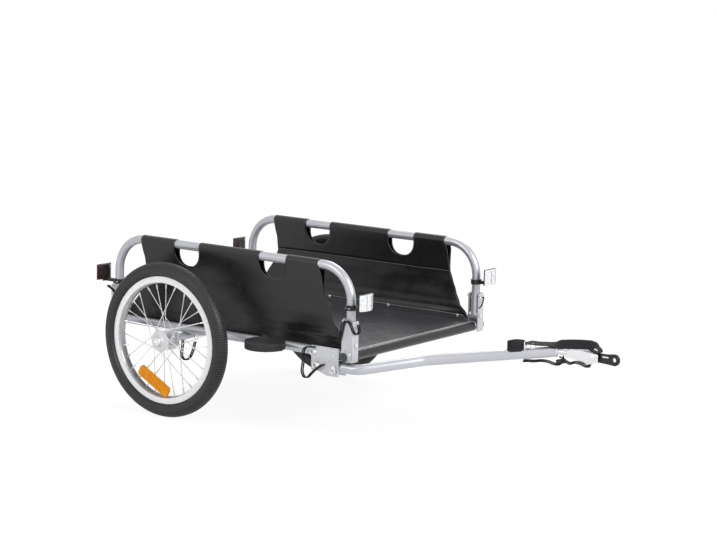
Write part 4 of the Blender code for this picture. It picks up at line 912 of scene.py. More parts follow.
def tow_bracket():
    """The plates with rounded edges, a pressed rib along the outer one, and its fasteners."""
    face = -RAIL_Y - PLATE_FACE
    rib = rounded_outline([(x, z, 0.0022) for x, z in RIB_CORNERS], 4)
    extras = [slab(rib, X_AXIS, Z_AXIS, bed(0.0, face + 0.0004, RIB_Z), 0.0024, BRACKET_SILVER, 0.0014)]
    for x, z in RIVETS:
        place = bed(x, face + 0.0002, z)
        extras.append(rod(place, place - Y_AXIS * 0.0010, 0.0052, DARK_ZINC, 0.0004))
        extras.append(rod(place, place - Y_AXIS * 0.0032, 0.0034, ZINC, 0.0012))
    for x in SPOT_WELDS:
        place = bed(x, face + 0.0012, RAIL_Z + TUBE_RADIUS + 0.0030)
        extras.append(weld_bead(place, Z_AXIS, 0.0020, BRACKET_SILVER))
    worn("tow_bracket", BRACKET_SILVER, "frame", 0.0008, extras)


def tube_plug(end, side):
    """Push-in cap: a domed head with a raised ring, on its stem."""
    node = f"{end}_{side}_tube_plug"
    hand = SIDES[side]
    profile = [
        (0.0, 0.0016), (0.0062, 0.0018), (0.0072, 0.0026), (0.0082, 0.0030), (0.0098, 0.0029),
        (0.0107, 0.0022), (0.0110, 0.0012), (0.0110, 0.0), (0.0086, 0.0), (0.0086, -0.0118), (0.0, -0.0120),
    ]
    place = bed(ENDS[end] * HALF_BED, hand * (CROSS_REACH + CLEARANCE), RAIL_Z)
    made = lathe(f"{node}_detailed", profile, place, Y_AXIS * hand, PLUG_GREY, 40)
    assign(made, "frame", node)


ROLLER_X = 0.1585
ROLLER_Y = RAIL_Y + TUBE_RADIUS + 0.0027 + 0.0500
ROLLER_BOTTOM = RAIL_Z - 0.0003
ROLLER_HEIGHT = 0.0300
ROLLER_WAIST = 0.0482  # radius at the foot of the ribs
ROLLER_RIBS = 60


def roller(side, hand):
    """Flat roller with a conical top and fine ribs round its rim, and its bracket."""
    profile = [
        (0.0053, ROLLER_HEIGHT), (0.0080, ROLLER_HEIGHT), (0.0092, ROLLER_HEIGHT - 0.0008), (0.0300, 0.0224),
        (0.0460, 0.0196), (0.0478, 0.0190), (0.0488, 0.0182), (0.0490, 0.0160), (ROLLER_WAIST, 0.0154),
        (ROLLER_WAIST, 0.0036), (0.0490, 0.0030), (0.0488, 0.0010), (0.0478, 0.0), (0.0420, 0.0),
        (0.0400, 0.0016), (0.0120, 0.0016), (0.0100, 0.0), (0.0053, 0.0),
    ]
    place = bed(ROLLER_X, hand * ROLLER_Y, ROLLER_BOTTOM)
    made = [lathe("body", profile, place, Z_AXIS, ROLLER_BLACK, 72)]
    for number in range(ROLLER_RIBS):
        angle = 2 * math.pi * number / ROLLER_RIBS
        low = place + Vector((math.cos(angle), math.sin(angle), 0.0)) * ROLLER_WAIST + Z_AXIS * 0.0030
        made.append(rod(low, low + Z_AXIS * 0.0130, 0.0011, ROLLER_BLACK, sides=6))
    joined(f"{side}_roller_detailed", made, f"{side}_roller", f"{side}_bumper_roller")
    worn(f"{side}_bumper_bracket", BLACK_STEEL, "frame", 0.0006)


# Reflectors

CLAMP_HEIGHT = 0.0120
FLANK_TAPER = 0.0150


def reflector(end, side):
    """A lens with three ribbed faces in a black housing, and its clamp round the hoop's leg."""
    corner = f"{end}_{side}"
    way = ENDS[end]
    hand = SIDES[side]
    low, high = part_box(f"{corner}_reflector")
    middle = (low + high) / 2
    half_y = (high.y - low.y) / 2
    half_z = (high.z - low.z) / 2
    depth = high.x - low.x
    back = middle.x - way * depth / 2

    def layer(rows, trim, material, edge):
        """A plate across the reflector's height, less a trim at both ends."""
        place = (back, middle.y, middle.z - way * (half_z - trim))
        outline = rounded_outline(mirrored(rows), 3)
        return slab(outline, X_AXIS * way, Y_AXIS, place, 2 * half_z - 2 * trim, material, edge)

    if end == "front":
        face = depth + 0.0025
        rows = [(0.0016, -half_y, 0.0), (face - 0.0078, -half_y, 0.0012), (face, -half_y / 3, 0.0009)]
        made = [layer(rows, 0.0010, WHITE_LENS, 0.0008)]
        for edge in (-half_y / 3, half_y / 3):
            foot = Vector((back + way * (face + 0.0001), middle.y + edge, middle.z - half_z + 0.0030))
            made.append(rod(foot, foot + Z_AXIS * (2 * half_z - 0.0060), 0.0008, LENS_EDGE, sides=8))
        rows = [(0.0, -half_y - 0.0004, 0.0010), (0.0036, -half_y - 0.0004, 0.0006)]
        made.append(layer(rows, 0.0, BLACK_PLASTIC, 0.0006))
    else:
        rows = [(0.0, -half_y + FLANK_TAPER, 0.0012), (depth - 0.0030, -half_y, 0.0010)]
        made = [layer(rows, 0.0004, BLACK_PLASTIC, 0.0012)]
        for aside in (-1, 1):
            inner = middle.y + aside * (half_y - FLANK_TAPER + 0.0012)
            start = Vector((back + way * 0.0002, inner, middle.z))
            stop = Vector((back + way * (depth - 0.0034), middle.y + aside * (half_y - 0.0006), middle.z))
            along = (stop - start).normalized()
            span = (stop - start).length
            rise = along.cross(Z_AXIS)
            out = -rise if rise.y * aside < 0 else rise
            pane = rounded_outline(mirrored([(x, -half_z + 0.0040, 0.0015) for x in (0.0, span)]), 3)
            # The flanks are the red lens's sides, given a far darker red: painted shade.
            flank = slab(pane, along, Z_AXIS, start - out * 0.0004, 0.0012, RED_SIDE_PAINTED_SHADE)
            if rise.dot(out) < 0:
                for vertex in flank.data.vertices:
                    vertex.co -= out * 2 * ((vertex.co - start).dot(out) + 0.0004)
                flank.data.flip_normals()
            made.append(flank)
        face = depth - 0.0012
        rows = [(face - 0.0020, -half_y, 0.0), (face, -half_y, 0.0008), (depth, -half_y / 3, 0.0009)]
        made.append(layer(rows, 0.0, RED_LENS, 0.0008))
    joined(f"{corner}_reflector_detailed", made, f"{side}_side", f"{corner}_reflector")

    node = f"{corner}_reflector_clamp"
    leg = bed(way * HALF_BED, hand * RAIL_Y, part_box(node)[0].z + CLAMP_HEIGHT / 2)
    ear = rounded_outline(mirrored([(0.0100, -0.0050, 0.0), (0.0205, -0.0050, 0.0030)]), 4)
    ears = []
    for offset in (-0.0030, 0.0030):
        place = (leg.x + offset - 0.0012, leg.y, leg.z)
        ears.append(slab(ear, Y_AXIS * hand, Z_AXIS * hand, place, 0.0024, BLACK_PLASTIC, 0.0005))
    screw = [leg + Vector((reach, hand * 0.0162, 0.0)) for reach in (-0.0064, 0.0064)]
    ears.append(rod(*screw, 0.0019, ZINC, 0.0006, 12))
    name = f"{corner}_clamp_worn"
    worn(node, BLACK_PLASTIC, f"{side}_side", 0.0005, ears, name)


# Hitch, with places counted forwards from the arm's tip

YOKE_START = 0.0350
YOKE_HALF = 0.0120
PIVOT_AHEAD = 0.1010
EYE_AHEAD = 0.1530


def bow(ahead, radius, first, turn, steps):
    """Points of an arc about a place on the hitch's line."""
    angles = [math.radians(first + turn * step / steps) for step in range(steps + 1)]
    return [(ahead + radius * math.cos(angle), radius * math.sin(angle)) for angle in angles]


def hitch_parts():
    """Forked yoke, coupler plate with a thick eye, and the pin through both."""
    tip = bed(*ARM_TIP)
    start = tip + X_AXIS * YOKE_START
    pivot = tip + X_AXIS * PIVOT_AHEAD
    eye = tip + X_AXIS * EYE_AHEAD
    pin_hole = TOW_PIN_RADIUS + CLEARANCE
    cheek = rounded_outline([
        (-0.0020, 0.0098, 0.0030), (-0.0020, -0.0078, 0.0030), (0.0180, -0.0098, 0.0060),
        (0.0440, -0.0172, 0.0060), (0.0620, -0.0176, 0.0050), (0.0800, -0.0090, 0.0050),
        (0.0800, 0.0090, 0.0040), (0.0380, 0.0118, 0.0080),
    ])
    made = []
    for way in (-1, 1):
        place = start + Y_AXIS * (way * (YOKE_HALF - 0.0015) + 0.0015)
        made.append(slab(cheek, X_AXIS, Z_AXIS, place, 0.0030, ZINC, 0.0008))
    block = rounded_outline([
        (0.0, 0.0088, 0.0030), (0.0, -0.0088, 0.0038), (0.0340, -0.0088, 0.0030), (0.0340, 0.0088, 0.0030),
    ])
    place = start + Y_AXIS * (YOKE_HALF - 0.0010)
    made.append(slab(block, X_AXIS, Z_AXIS, place, 2 * YOKE_HALF - 0.0020, ZINC))
    carve(made[2], rod(start - X_AXIS * 0.01, start + X_AXIS * 0.0150, STUD_RADIUS + CLEARANCE, ZINC))
    for plate in made[:2]:
        carve(plate, bore(pivot, Y_AXIS, 0.02, pin_hole))
    nut = [
        (0.0068, 0.0), (0.0108, 0.0), (0.0116, 0.0008), (0.0116, 0.0052), (0.0108, 0.0060), (0.0068, 0.0060),
    ]
    made.append(lathe("nut", nut, start - X_AXIS * 0.0062, X_AXIS, ZINC, 6, 20.0))
    joined("hitch_yoke_detailed", made, "yoke", "hitch_yoke")

    reach = Y_AXIS * (YOKE_HALF + 0.0014)
    pin = [rod(pivot - reach, pivot + reach, TOW_PIN_RADIUS, ZINC)]
    for way, sides in ((-1, 28), (1, 6)):
        face = pivot + Y_AXIS * way * (YOKE_HALF + CLEARANCE)
        pin.append(rod(face, face + Y_AXIS * way * 0.0030, 0.0065, ZINC, 0.0011, sides))
    joined("coupler_pin_detailed", pin, "yoke", "coupler_pin")

    outline = [
        *bow(PIVOT_AHEAD, 0.0105, 90, 180, 12),
        (0.1350, -0.0122),
        *bow(EYE_AHEAD, 0.0138, -85, 170, 20),
        (0.1350, 0.0112),
    ]
    plate = slab(outline, X_AXIS, Z_AXIS, tip + Y_AXIS * 0.0030, 0.0060, BLACK_STEEL, 0.0010)
    corners = ((0.1185, 0.0018), (0.1185, 0.0054), (0.1385, 0.0054), (0.1385, 0.0018))
    slot = rounded_outline([(*corner, 0.0017) for corner in corners], 5)
    carve(
        plate,
        bore(eye, Y_AXIS, 0.02, 0.0052, 40),
        bore(pivot, Y_AXIS, 0.02, pin_hole),
        slab(slot, X_AXIS, Z_AXIS, tip + Y_AXIS * 0.02, 0.04, SILVER),
    )
    made = [plate]
    for way in (-1, 1):
        made.append(ring(eye + Y_AXIS * way * 0.0030, Y_AXIS, 0.0078, 0.0016, BLACK_STEEL, 10, 40))
    joined("coupler_plate_detailed", made, "coupler", "coupler_plate")


RIBBON_STOPS = (-0.5, -0.46, -0.25, 0.0, 0.25, 0.46, 0.5)  # shares of the width


def ribbon(name, rows, thickness):
    """Webbing from (place, direction of its width, width) rows."""
    verts = []
    uv = []
    run = 0.0
    count = 2 * len(RIBBON_STOPS)
    for index, (place, across, width) in enumerate(rows):
        before = rows[max(index - 1, 0)][0]
        after = rows[min(index + 1, len(rows) - 1)][0]
        along = (after - before).normalized()
        across = (across - along * across.dot(along)).normalized()
        face = along.cross(across)
        if index:
            run += (place - rows[index - 1][0]).length
        for way in (1, -1):
            for share in RIBBON_STOPS[::way]:
                thin = 0.55 if abs(share) == 0.5 else 1.0
                verts.append(place + across * share * width + face * way * thickness / 2 * thin)
                uv.append((run, share * width))
    return piece(name, verts, caps(len(rows), count) + bands(len(rows), count), WEBBING, uv, 50.0)


def spread(rows):
    """More rows along the smooth curve through a few (place, direction, width) ones."""
    route = smooth_route([row[0] for row in rows], 0.003)
    lengths = [0.0]
    for start, end in zip(rows, rows[1:]):
        lengths.append(lengths[-1] + (end[0] - start[0]).length)
    total = length_of(route)
    out = []
    run = 0.0
    for index, place in enumerate(route):
        if index:
            run += (place - route[index - 1]).length
        wanted = min(run / total, 1.0) * lengths[-1]
        number = max(i for i, value in enumerate(lengths[:-1]) if value <= wanted + 1e-9)
        share = (wanted - lengths[number]) / (lengths[number + 1] - lengths[number])
        share = share * share * (3 - 2 * share)
        across = rows[number][1].lerp(rows[number + 1][1], share).normalized()
        out.append((place, across, mix(rows[number][2], rows[number + 1][2], share)))
    return out


STRAP_HEADING = Vector((0.8999, 0.4155, 0.0)).normalized()  # the arm's own heading, seen from above
STRAP_WIDTH = 0.0250
BAND_WIDTH = 0.0240
STRAP_LOOP = (  # ahead of the tip, to the left and above it, and share of the width
    (-0.0760, -0.0030, 0.0060, 1.0), (-0.0840, -0.0100, 0.0085, 1.0), (-0.0980, -0.0118, 0.0082, 1.0),
    (-0.1080, -0.0112, 0.0068, 0.96), (-0.1145, -0.0060, 0.0064, 0.94), (-0.1160, 0.0000, 0.0064, 0.94),
    (-0.1145, 0.0060, 0.0064, 0.94), (-0.1080, 0.0112, 0.0068, 0.96), (-0.0980, 0.0118, 0.0082, 1.0),
    (-0.0840, 0.0100, 0.0085, 1.0), (-0.0770, 0.0030, 0.0085, 1.0),
)
STRAP_FLAP = (  # the same, and the width itself
    (-0.0775, -0.0060, 0.0120, 0.0180), (-0.0880, -0.0128, 0.0150, 0.0170),
    (-0.0990, -0.0140, 0.0148, 0.0160), (-0.1060, -0.0138, 0.0140, 0.0150),
)
STRAP_BAND = (  # ahead of the tip, to the left and above it, and how far its width leans upwards
    (-0.0745, 0.0, 0.0140, 1.0, 0.0), (-0.0600, 0.0, 0.0166, 0.98, 0.2), (-0.0420, 0.0, 0.0156, 0.98, 0.2),
    (-0.0240, 0.0, 0.0160, 0.98, 0.2), (-0.0080, -0.0010, 0.0156, 1.0, 0.35),
)
STRAP_OVER_YOKE = (  # ahead of the tip and above it, how far it leans, and its width
    (0.0137, 0.0182, 0.55, 0.0235), (0.0396, 0.0222, 0.35, 0.0225), (0.0658, 0.0251, 0.25, 0.0225),
    (0.0860, 0.0266, 0.30, 0.0225), (0.0985, 0.0262, 0.80, 0.0215),
)
STRAP_END = (  # ahead of the tip and above it, and its width
    (0.1090, 0.0228, 0.0200), (0.1158, 0.0172, 0.0190), (0.1160, 0.0130, 0.0180), (0.1100, 0.0116, 0.0176),
    (0.1010, 0.0132, 0.0170), (0.0900, 0.0168, 0.0160), (0.0790, 0.0212, 0.0150),
)
BUCKLE = (
    (-0.0748, -0.0135, 0.0030), (-0.0752, -0.0148, 0.0180), (-0.0738, 0.0148, 0.0190),
    (-0.0734, 0.0135, 0.0030), (-0.0748, -0.0135, 0.0030),
)


def strap():
    """Safety webbing: a loop that straddles the arm, its wire buckle, and the band to the coupler."""
    tip = bed(*ARM_TIP)
    left = Z_AXIS.cross(STRAP_HEADING)

    def at(ahead, aside, above):
        return tip + STRAP_HEADING * ahead + left * aside + Z_AXIS * above

    def over(ahead, above):
        return tip + Vector((ahead, -0.0010, above))

    loop = [(at(*place), Z_AXIS, STRAP_WIDTH * share) for *place, share in STRAP_LOOP]
    flap = [(at(*place), Z_AXIS, width) for *place, width in STRAP_FLAP]
    band = []
    for *place, aside, above in STRAP_BAND:
        lean = (left * aside + Z_AXIS * above).normalized() if above else left
        band.append((at(*place), lean, BAND_WIDTH))
    for ahead, above, lean, width in STRAP_OVER_YOKE:
        band.append((over(ahead, above), (Y_AXIS * lean + Z_AXIS).normalized(), width))
    end = band[-2:] + [(over(ahead, above), Y_AXIS, width) for ahead, above, width in STRAP_END]
    made = [ribbon("loop", spread(loop), 0.0018), ribbon("flap", spread(flap), 0.0016)]
    strips = (
        ("strap_band", band[:-1], "arm", "yoke", over(-0.0020, 0.0), over(0.0560, 0.0)),
        ("strap_end", end, "yoke", "coupler", over(0.0880, 0.0), over(0.1100, 0.0)),
    )
    for name, rows, before, after, low, high in strips:
        strip = assign(ribbon(name, spread(rows), 0.0022), None, "safety_strap")
        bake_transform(strip)
    wire = rounded_path([at(*place) for place in BUCKLE], 0.0022, 6)
    made.append(sweep("buckle", wire, round_section(0.0012, 10), ZINC, STRAP_HEADING))
    made.append(ring(at(-0.0560, -0.0060, 0.0100), left, 0.0058, 0.0011, ZINC))
    made.append(rod(at(-0.0735, 0.0, -0.0040), at(-0.0733, 0.0, 0.0050), 0.0030, ZINC))
    joined("safety_strap_detailed", made, "arm", "safety_strap")

    low = at(-0.0010, 0.0, -0.0258)
    barrel = rod(low, low + (STRAP_HEADING * 0.0230 + Z_AXIS * 0.0050), 0.0060, BLACK_PLASTIC, 0.0022)
    button = rod(at(0.0085, -0.0005, -0.0150), at(0.0095, -0.0005, -0.0120), 0.0042, BLACK_PLASTIC, 0.0012)
    joined("tether_toggle", [barrel, button], "arm")


# Sling

FABRIC_THICKNESS = 0.0011
SLEEVE_RADIUS = 0.0119
SLEEVE_TOP = HOOP_Z - 0.0060
SEAM_Z = 0.3420  # where the turned-over edge is sewn to the sheet, inside the sling
HOLE_DEPTH_Z = 0.3680  # lowest point of the hand holes
SIDE_BOTTOM_Z = 0.2158
HOLES = ((-0.1740, -0.0950), (0.0930, 0.1750))
HOLE_SQUARENESS = 2.3
FRONT_EDGE = (
    (0.2158, 0.3455), (0.2272, 0.3450), (0.2440, 0.3390), (0.2640, 0.3160), (0.2910, 0.3005),
    (0.3150, 0.2920), (0.3550, 0.2830), (0.4000, 0.2790), (0.4190, 0.2690),
)
REAR_EDGE = (
    (0.2158, -0.3455), (0.2272, -0.3450), (0.2440, -0.3390), (0.2760, -0.3050), (0.3100, -0.2840),
    (0.3400, -0.2740), (0.3750, -0.2750), (0.4000, -0.2800), (0.4190, -0.2820),
)
INSET = (  # how far the sheet hangs inside the rail's plane, by height
    (0.2158, 0.0142), (0.2272, 0.0142), (0.2400, 0.0132), (0.2520, 0.0096), (0.2700, 0.0060),
    (0.3000, 0.0030), (0.3420, 0.0008), (0.3955, -0.0070),
)
CREASE_Z = 0.2440  # the fold that the floor's edge presses into the sheet
CREASE_WIDTH = 0.006
CREASE_DEPTH = 0.0012
CURL_X = 0.345  # where the sheet's lower corners curl inwards
CURL_Z = 0.256
CURL_LENGTH = 0.030
CURL_HEIGHT = 0.017
CURL_DEPTH = 0.0075
SLEEVE_COLUMNS = (22, 42, 24)
SLEEVE_STEPS = 14
SLEEVE_HEIGHTS = (
    SEAM_Z, 0.3500, 0.3590, 0.3655, HOLE_DEPTH_Z, 0.3683, 0.3690, 0.3702, 0.3720, 0.3750,
    0.3790, 0.3840, 0.3900, 0.3970, 0.4050,
)
SHEET_ROWS = 44


def hole_edge(hole, z, right):
    """x of a hand hole's edge at a height: straight sides over a rounded bottom."""
    low, high = hole
    half = (high - low) / 2
    depth = (SLEEVE_TOP - z) / (SLEEVE_TOP - HOLE_DEPTH_Z)
    reach = half
    if depth > 0.0:
        reach = half * (1 - min(depth, 1.0) ** HOLE_SQUARENESS) ** (1 / HOLE_SQUARENESS)
    return (low + high) / 2 + (reach if right else -reach)


def panel_wave(x, z, seed):
    """Slow unevenness of the hanging sheet, outwards from the trailer's middle."""
    slow = noise.noise(Vector((x * 7.0, z * 9.0, seed)))
    fine = noise.noise(Vector((x * 18.0, z * 30.0, seed + 4.0)))
    pleat = noise.noise(Vector((x * 11.0, z * 48.0, seed + 9.0))) * math.exp(-(((z - 0.322) / 0.016) ** 2))
    return 0.0032 * slow + 0.0008 * fine + 0.0007 * pleat


def between(upper, lower):
    """Quads between two open rows of points."""
    return [(upper[n], upper[n + 1], lower[n + 1], lower[n]) for n in range(len(upper) - 1)]


def sheet(name, verts, faces, material, uv):
    return assign(piece(name, verts, faces, material, uv, 60.0), None)


def thickened(made):
    """Gives a sheet its thickness, and tells its area."""
    modify(made, "SOLIDIFY", thickness=FABRIC_THICKNESS, offset=0.0)
    apply_modifiers(made)
    made.data.shade_smooth()
    return sum(polygon.area for polygon in made.data.polygons) / 2


def weld_seams(shape):
    bmesh.ops.remove_doubles(shape, verts=shape.verts, dist=2e-5)


def sleeve(way, thick):
    """Heights and offsets from the seam up to the tube, on one side of it."""
    out = []
    for z in SLEEVE_HEIGHTS:
        share = (z - SEAM_Z) / (HOOP_Z - 0.0050 - SEAM_Z)
        out.append((z, way * mix(thick, SLEEVE_RADIUS, share**1.15)))
    return out


def side_sheet(side, hand):
    """The sling's side: three sleeves round the top rail over one sheet down to the floor."""
    verts = []
    uv = []
    rows = []

    def x_of(tab, share, z):
        low = curve_through(REAR_EDGE, z) if tab == 0 else hole_edge(HOLES[tab - 1], z, True)
        high = curve_through(FRONT_EDGE, z) if tab == 2 else hole_edge(HOLES[tab], z, False)
        return mix(low, high, share)

    def add_row(z, offset, run, relax, hang):
        row = []
        ends = (curve_through(REAR_EDGE, z), curve_through(FRONT_EDGE, z))
        x_low = curve_through(REAR_EDGE, HOLE_DEPTH_Z)
        x_high = curve_through(FRONT_EDGE, HOLE_DEPTH_Z)
        number = 0
        for tab, count in enumerate(SLEEVE_COLUMNS):
            tab_row = []
            for step in range(count + 1):
                x = x_of(tab, step / count, max(z, HOLE_DEPTH_Z))
                if z < HOLE_DEPTH_Z:
                    share = (x - x_low) / (x_high - x_low)
                    even = (number - tab) / (sum(SLEEVE_COLUMNS) - 1)
                    x = mix(*ends, mix(share, even, relax))
                wave = panel_wave(x, z, 3.0 * hand) * hang
                fold = CREASE_DEPTH * math.exp(-abs(z - CREASE_Z - 0.02 * abs(x)) / CREASE_WIDTH) * hang
                curl = CURL_DEPTH * math.exp(-((CURL_X - abs(x)) / CURL_LENGTH) ** 2)
                curl *= math.exp(-((z - CURL_Z) / CURL_HEIGHT) ** 2)
                tab_row.append(len(verts))
                verts.append(bed(x, hand * (RAIL_Y + offset + wave + fold - curl), z))
                uv.append((x, run))
                number += 1
            row.append(tab_row)
        rows.append(row)

    run = 0.0
    path = sleeve(-1, 0.0014)
    for step in range(SLEEVE_STEPS + 1):
        angle = math.radians(188 - 196 * step / SLEEVE_STEPS)
        path.append((HOOP_Z + SLEEVE_RADIUS * math.sin(angle), SLEEVE_RADIUS * math.cos(angle)))
    path += sleeve(1, 0.0)[::-1]
    before = path[0]
    for z, across in path:
        run += math.hypot(z - before[0], across - before[1])
        before = (z, across)
        sag = 0.0008 * max(0.0, min(1.0, (HOOP_Z - 0.02 - z) / 0.05))
        add_row(z, across - sag, run, 0.0, 0.0)
    for step in range(1, SHEET_ROWS + 1):
        z = mix(SEAM_Z, SIDE_BOTTOM_Z, step / SHEET_ROWS)
        run += (SEAM_Z - SIDE_BOTTOM_Z) / SHEET_ROWS
        hang = min(1.0, step / 10) * min(1.0, (SHEET_ROWS - step) / 8)
        add_row(z, -curve_through(INSET, z), run, min(1.0, step / 12), hang)
    faces = []
    for above, below in zip(rows, rows[1:]):
        for upper, lower in zip(above, below):
            faces += between(upper, lower)
    made = sheet(f"{side}_sling_side", verts, faces, FABRIC, uv)
    reshape(made.data, weld_seams)
    area = thickened(made)
    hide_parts(f"{side}_side_panel")
    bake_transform(made)
    return made, area


FLOOR_HALF = 0.2495
FLOOR_LIFT = 0.0142  # height of the turned-up edges
FLOOR_SPREAD = 0.0012  # how far outwards those edges lean
FLOOR_Z = 0.2232
FLOOR_WRAP_X = 0.350  # from here to the ends the floor lies over the cross tubes
FLOOR_WRAP_HALF = 0.2560
FLOOR_ROWS = 90
FLOOR_COLUMNS = 60
WRAP_STEPS = 14
EDGE_STEPS = 6
SEAM_STUDS = (-0.2700, -0.0820, 0.1080, 0.3235)
PIPING_REACH = 0.338
PIPING_Y = 0.2494
PIPING_Z = 0.2374
END_HIGHLIGHT_REACH = 0.2530


def floor_sag(x, y):
    """Height of the floor over its supports."""
    across = 1 - (y / 0.25) ** 2
    along = 1 - (x / 0.36) ** 2
    slow = noise.noise(Vector((x * 5.0, y * 6.0, 1.7)))
    fine = noise.noise(Vector((x * 16.0, y * 9.0, 8.3)))
    return -0.0030 * across * along + (0.0014 * slow + 0.0004 * fine) * across * along


def floor_sheet():
    """The sling's floor: wraps the cross tubes at both ends and turns up inside the rails."""
    wrap = TUBE_RADIUS + 0.0008
    rear = []
    for step in range(WRAP_STEPS + 1):
        angle = math.radians(-100 - 170 * step / WRAP_STEPS)
        rear.append((-HALF_BED + wrap * math.cos(angle), RAIL_Z + wrap * math.sin(angle)))
    inner = [(mix(-HALF_BED, HALF_BED, step / FLOOR_ROWS), None) for step in range(1, FLOOR_ROWS)]
    outline = rear + inner + [(-x, z) for x, z in reversed(rear)]
    cross = []
    for step in range(EDGE_STEPS + 1):
        share = 1 - step / EDGE_STEPS
        cross.append((-FLOOR_HALF - FLOOR_SPREAD * share, FLOOR_LIFT * share))
    cross += [(mix(-FLOOR_HALF, FLOOR_HALF, step / FLOOR_COLUMNS), 0.0) for step in range(1, FLOOR_COLUMNS)]
    for step in range(EDGE_STEPS + 1):
        cross.append((FLOOR_HALF + FLOOR_SPREAD * step / EDGE_STEPS, FLOOR_LIFT * step / EDGE_STEPS))
    verts = []
    uv = []
    run = 0.0
    for number, (x, z) in enumerate(outline):
        if number:
            run += 0.008
        for y, rise in cross:
            reach = max(-FLOOR_HALF, min(FLOOR_HALF, y))
            height = z
            if z is None:
                fade = min(1.0, (0.352 - abs(x)) / 0.012)
                height = FLOOR_Z + floor_sag(x, reach)
                height += rise * max(0.0, fade)
                reach = y
            if abs(x) > FLOOR_WRAP_X:
                reach = max(-FLOOR_WRAP_HALF, min(FLOOR_WRAP_HALF, reach * 1.02))
            verts.append(bed(x, reach, height))
            uv.append((run, y))
    wide = len(cross)
    faces = []
    for start in range(0, len(verts) - wide, wide):
        faces += between(range(start, start + wide), range(start + wide, start + 2 * wide))
    made = sheet("sling_floor", verts, faces, FLOOR_FABRIC_PAINTED_SHEEN, uv)
    made.data.materials.append(FABRIC)
    # The top keeps the lighter floor tone, a painted sheen; the wrap over the cross tubes keeps the sheet's
    # own dark fabric.
    for polygon in made.data.polygons:
        if polygon.center.z < RAIL_Z + 0.0108 and abs(polygon.center.x - BED_X) > 0.355:
            polygon.material_index = 1
    area = thickened(made)
    assign(made, "frame", "floor_panel")
    return made, area


def piping(name, path, radius, material, up=Y_AXIS):
    return sweep(name, path, round_section(radius, 8), material, up)


def seams(side, hand):
    """The floor's pale piping, a painted highlight along the seam, with the studs that hold it to the side,
    and a pale line along the sleeves' seam, a painted highlight on its crease.
    """
    path = []
    for x in np.linspace(-PIPING_REACH, PIPING_REACH, 60):
        path.append(bed(x, hand * PIPING_Y, PIPING_Z + 0.0004 * math.sin(x * 31.0)))
    # The piping's pale grey is a painted highlight along the seam.
    made = [piping("piping", path, 0.0008, SEAM_PIPING_PAINTED_HIGHLIGHT)]
    for x in SEAM_STUDS:
        place = bed(x, hand * (PIPING_Y - 0.0010), PIPING_Z - 0.0024)
        made.append(rod(place, place - Y_AXIS * hand * 0.0020, 0.0042, ZINC, 0.0014, 20))
    whole = joined(f"{side}_floor_seam", made, "frame")
    low = curve_through(REAR_EDGE, SEAM_Z) + 0.001
    high = curve_through(FRONT_EDGE, SEAM_Z) - 0.001
    path = []
    for x in np.linspace(low, high, 60):
        waver = 0.0012 * noise.noise(Vector((x * 14.0, 0.0, 2.0 * hand)))
        path.append(bed(x, hand * (RAIL_Y - 0.0037), SEAM_Z + 0.0006 + waver))
    # Painted highlight along the crease at the sleeves' seam.
    highlight = piping(f"{side}_sleeve_seam_highlight", path, 0.0009, SLEEVE_SEAM_PAINTED_HIGHLIGHT)
    return whole, assign(highlight, f"{side}_side")


def floor_end_highlight(end):
    """Pale piping along the top of the floor's wrap: a painted highlight on the roll over the cross tube."""
    x = ENDS[end] * (HALF_BED + 0.0010)
    z = RAIL_Z + TUBE_RADIUS + 0.0016
    path = [bed(x, y, z) for y in np.linspace(-END_HIGHLIGHT_REACH, END_HIGHLIGHT_REACH, 40)]
    return assign(piping(f"floor_{end}_hem", path, 0.0011, FLOOR_END_PAINTED_HIGHLIGHT, X_AXIS), "frame")


# Wheels

TYRE_RADIUS = 0.1925
TYRE_HALF = 0.0205
TYRE_ANGLES = (112, 98, 86, 77, 70, 66, 55, 52, 41, 38, 27, 24, 13, 10)  # round the casing, from the crown
TYRE_STEPS = 384
RIM_RADIUS = 0.1585
RIM_HALF = 0.0125
RIM_PROFILE = (  # (inwards from the edge, inwards from the flank) over one half
    (0.0182, 0.0060), (0.0156, 0.0008), (0.0148, 0.0), (0.0050, 0.0), (0.0046, 0.0005), (0.0042, 0.0),
    (0.0010, 0.0), (0.0, 0.0006), (0.0, 0.0016), (0.0012, 0.0022), (0.0066, 0.0022),
)
SPOKE_COUNT = 28
SPOKE_SWEEP = 62.0
NIPPLE_RADIUS = 0.1387
FLANGE_RADIUS = 0.0270
FLANGE_OFFSET = 0.0200
HUB_HALF = 0.0280
CLIP_PLACE = math.radians(-102.3)  # angle of the spoke reflector's middle round the hub
CLIP_SLANT = math.radians(28.3)
CLIP_OUT = 0.1067
CLIP_HALF_LENGTH = 0.0525
CLIP_HALF_HEIGHT = 0.0138
CLIP_CORNER = 0.0068


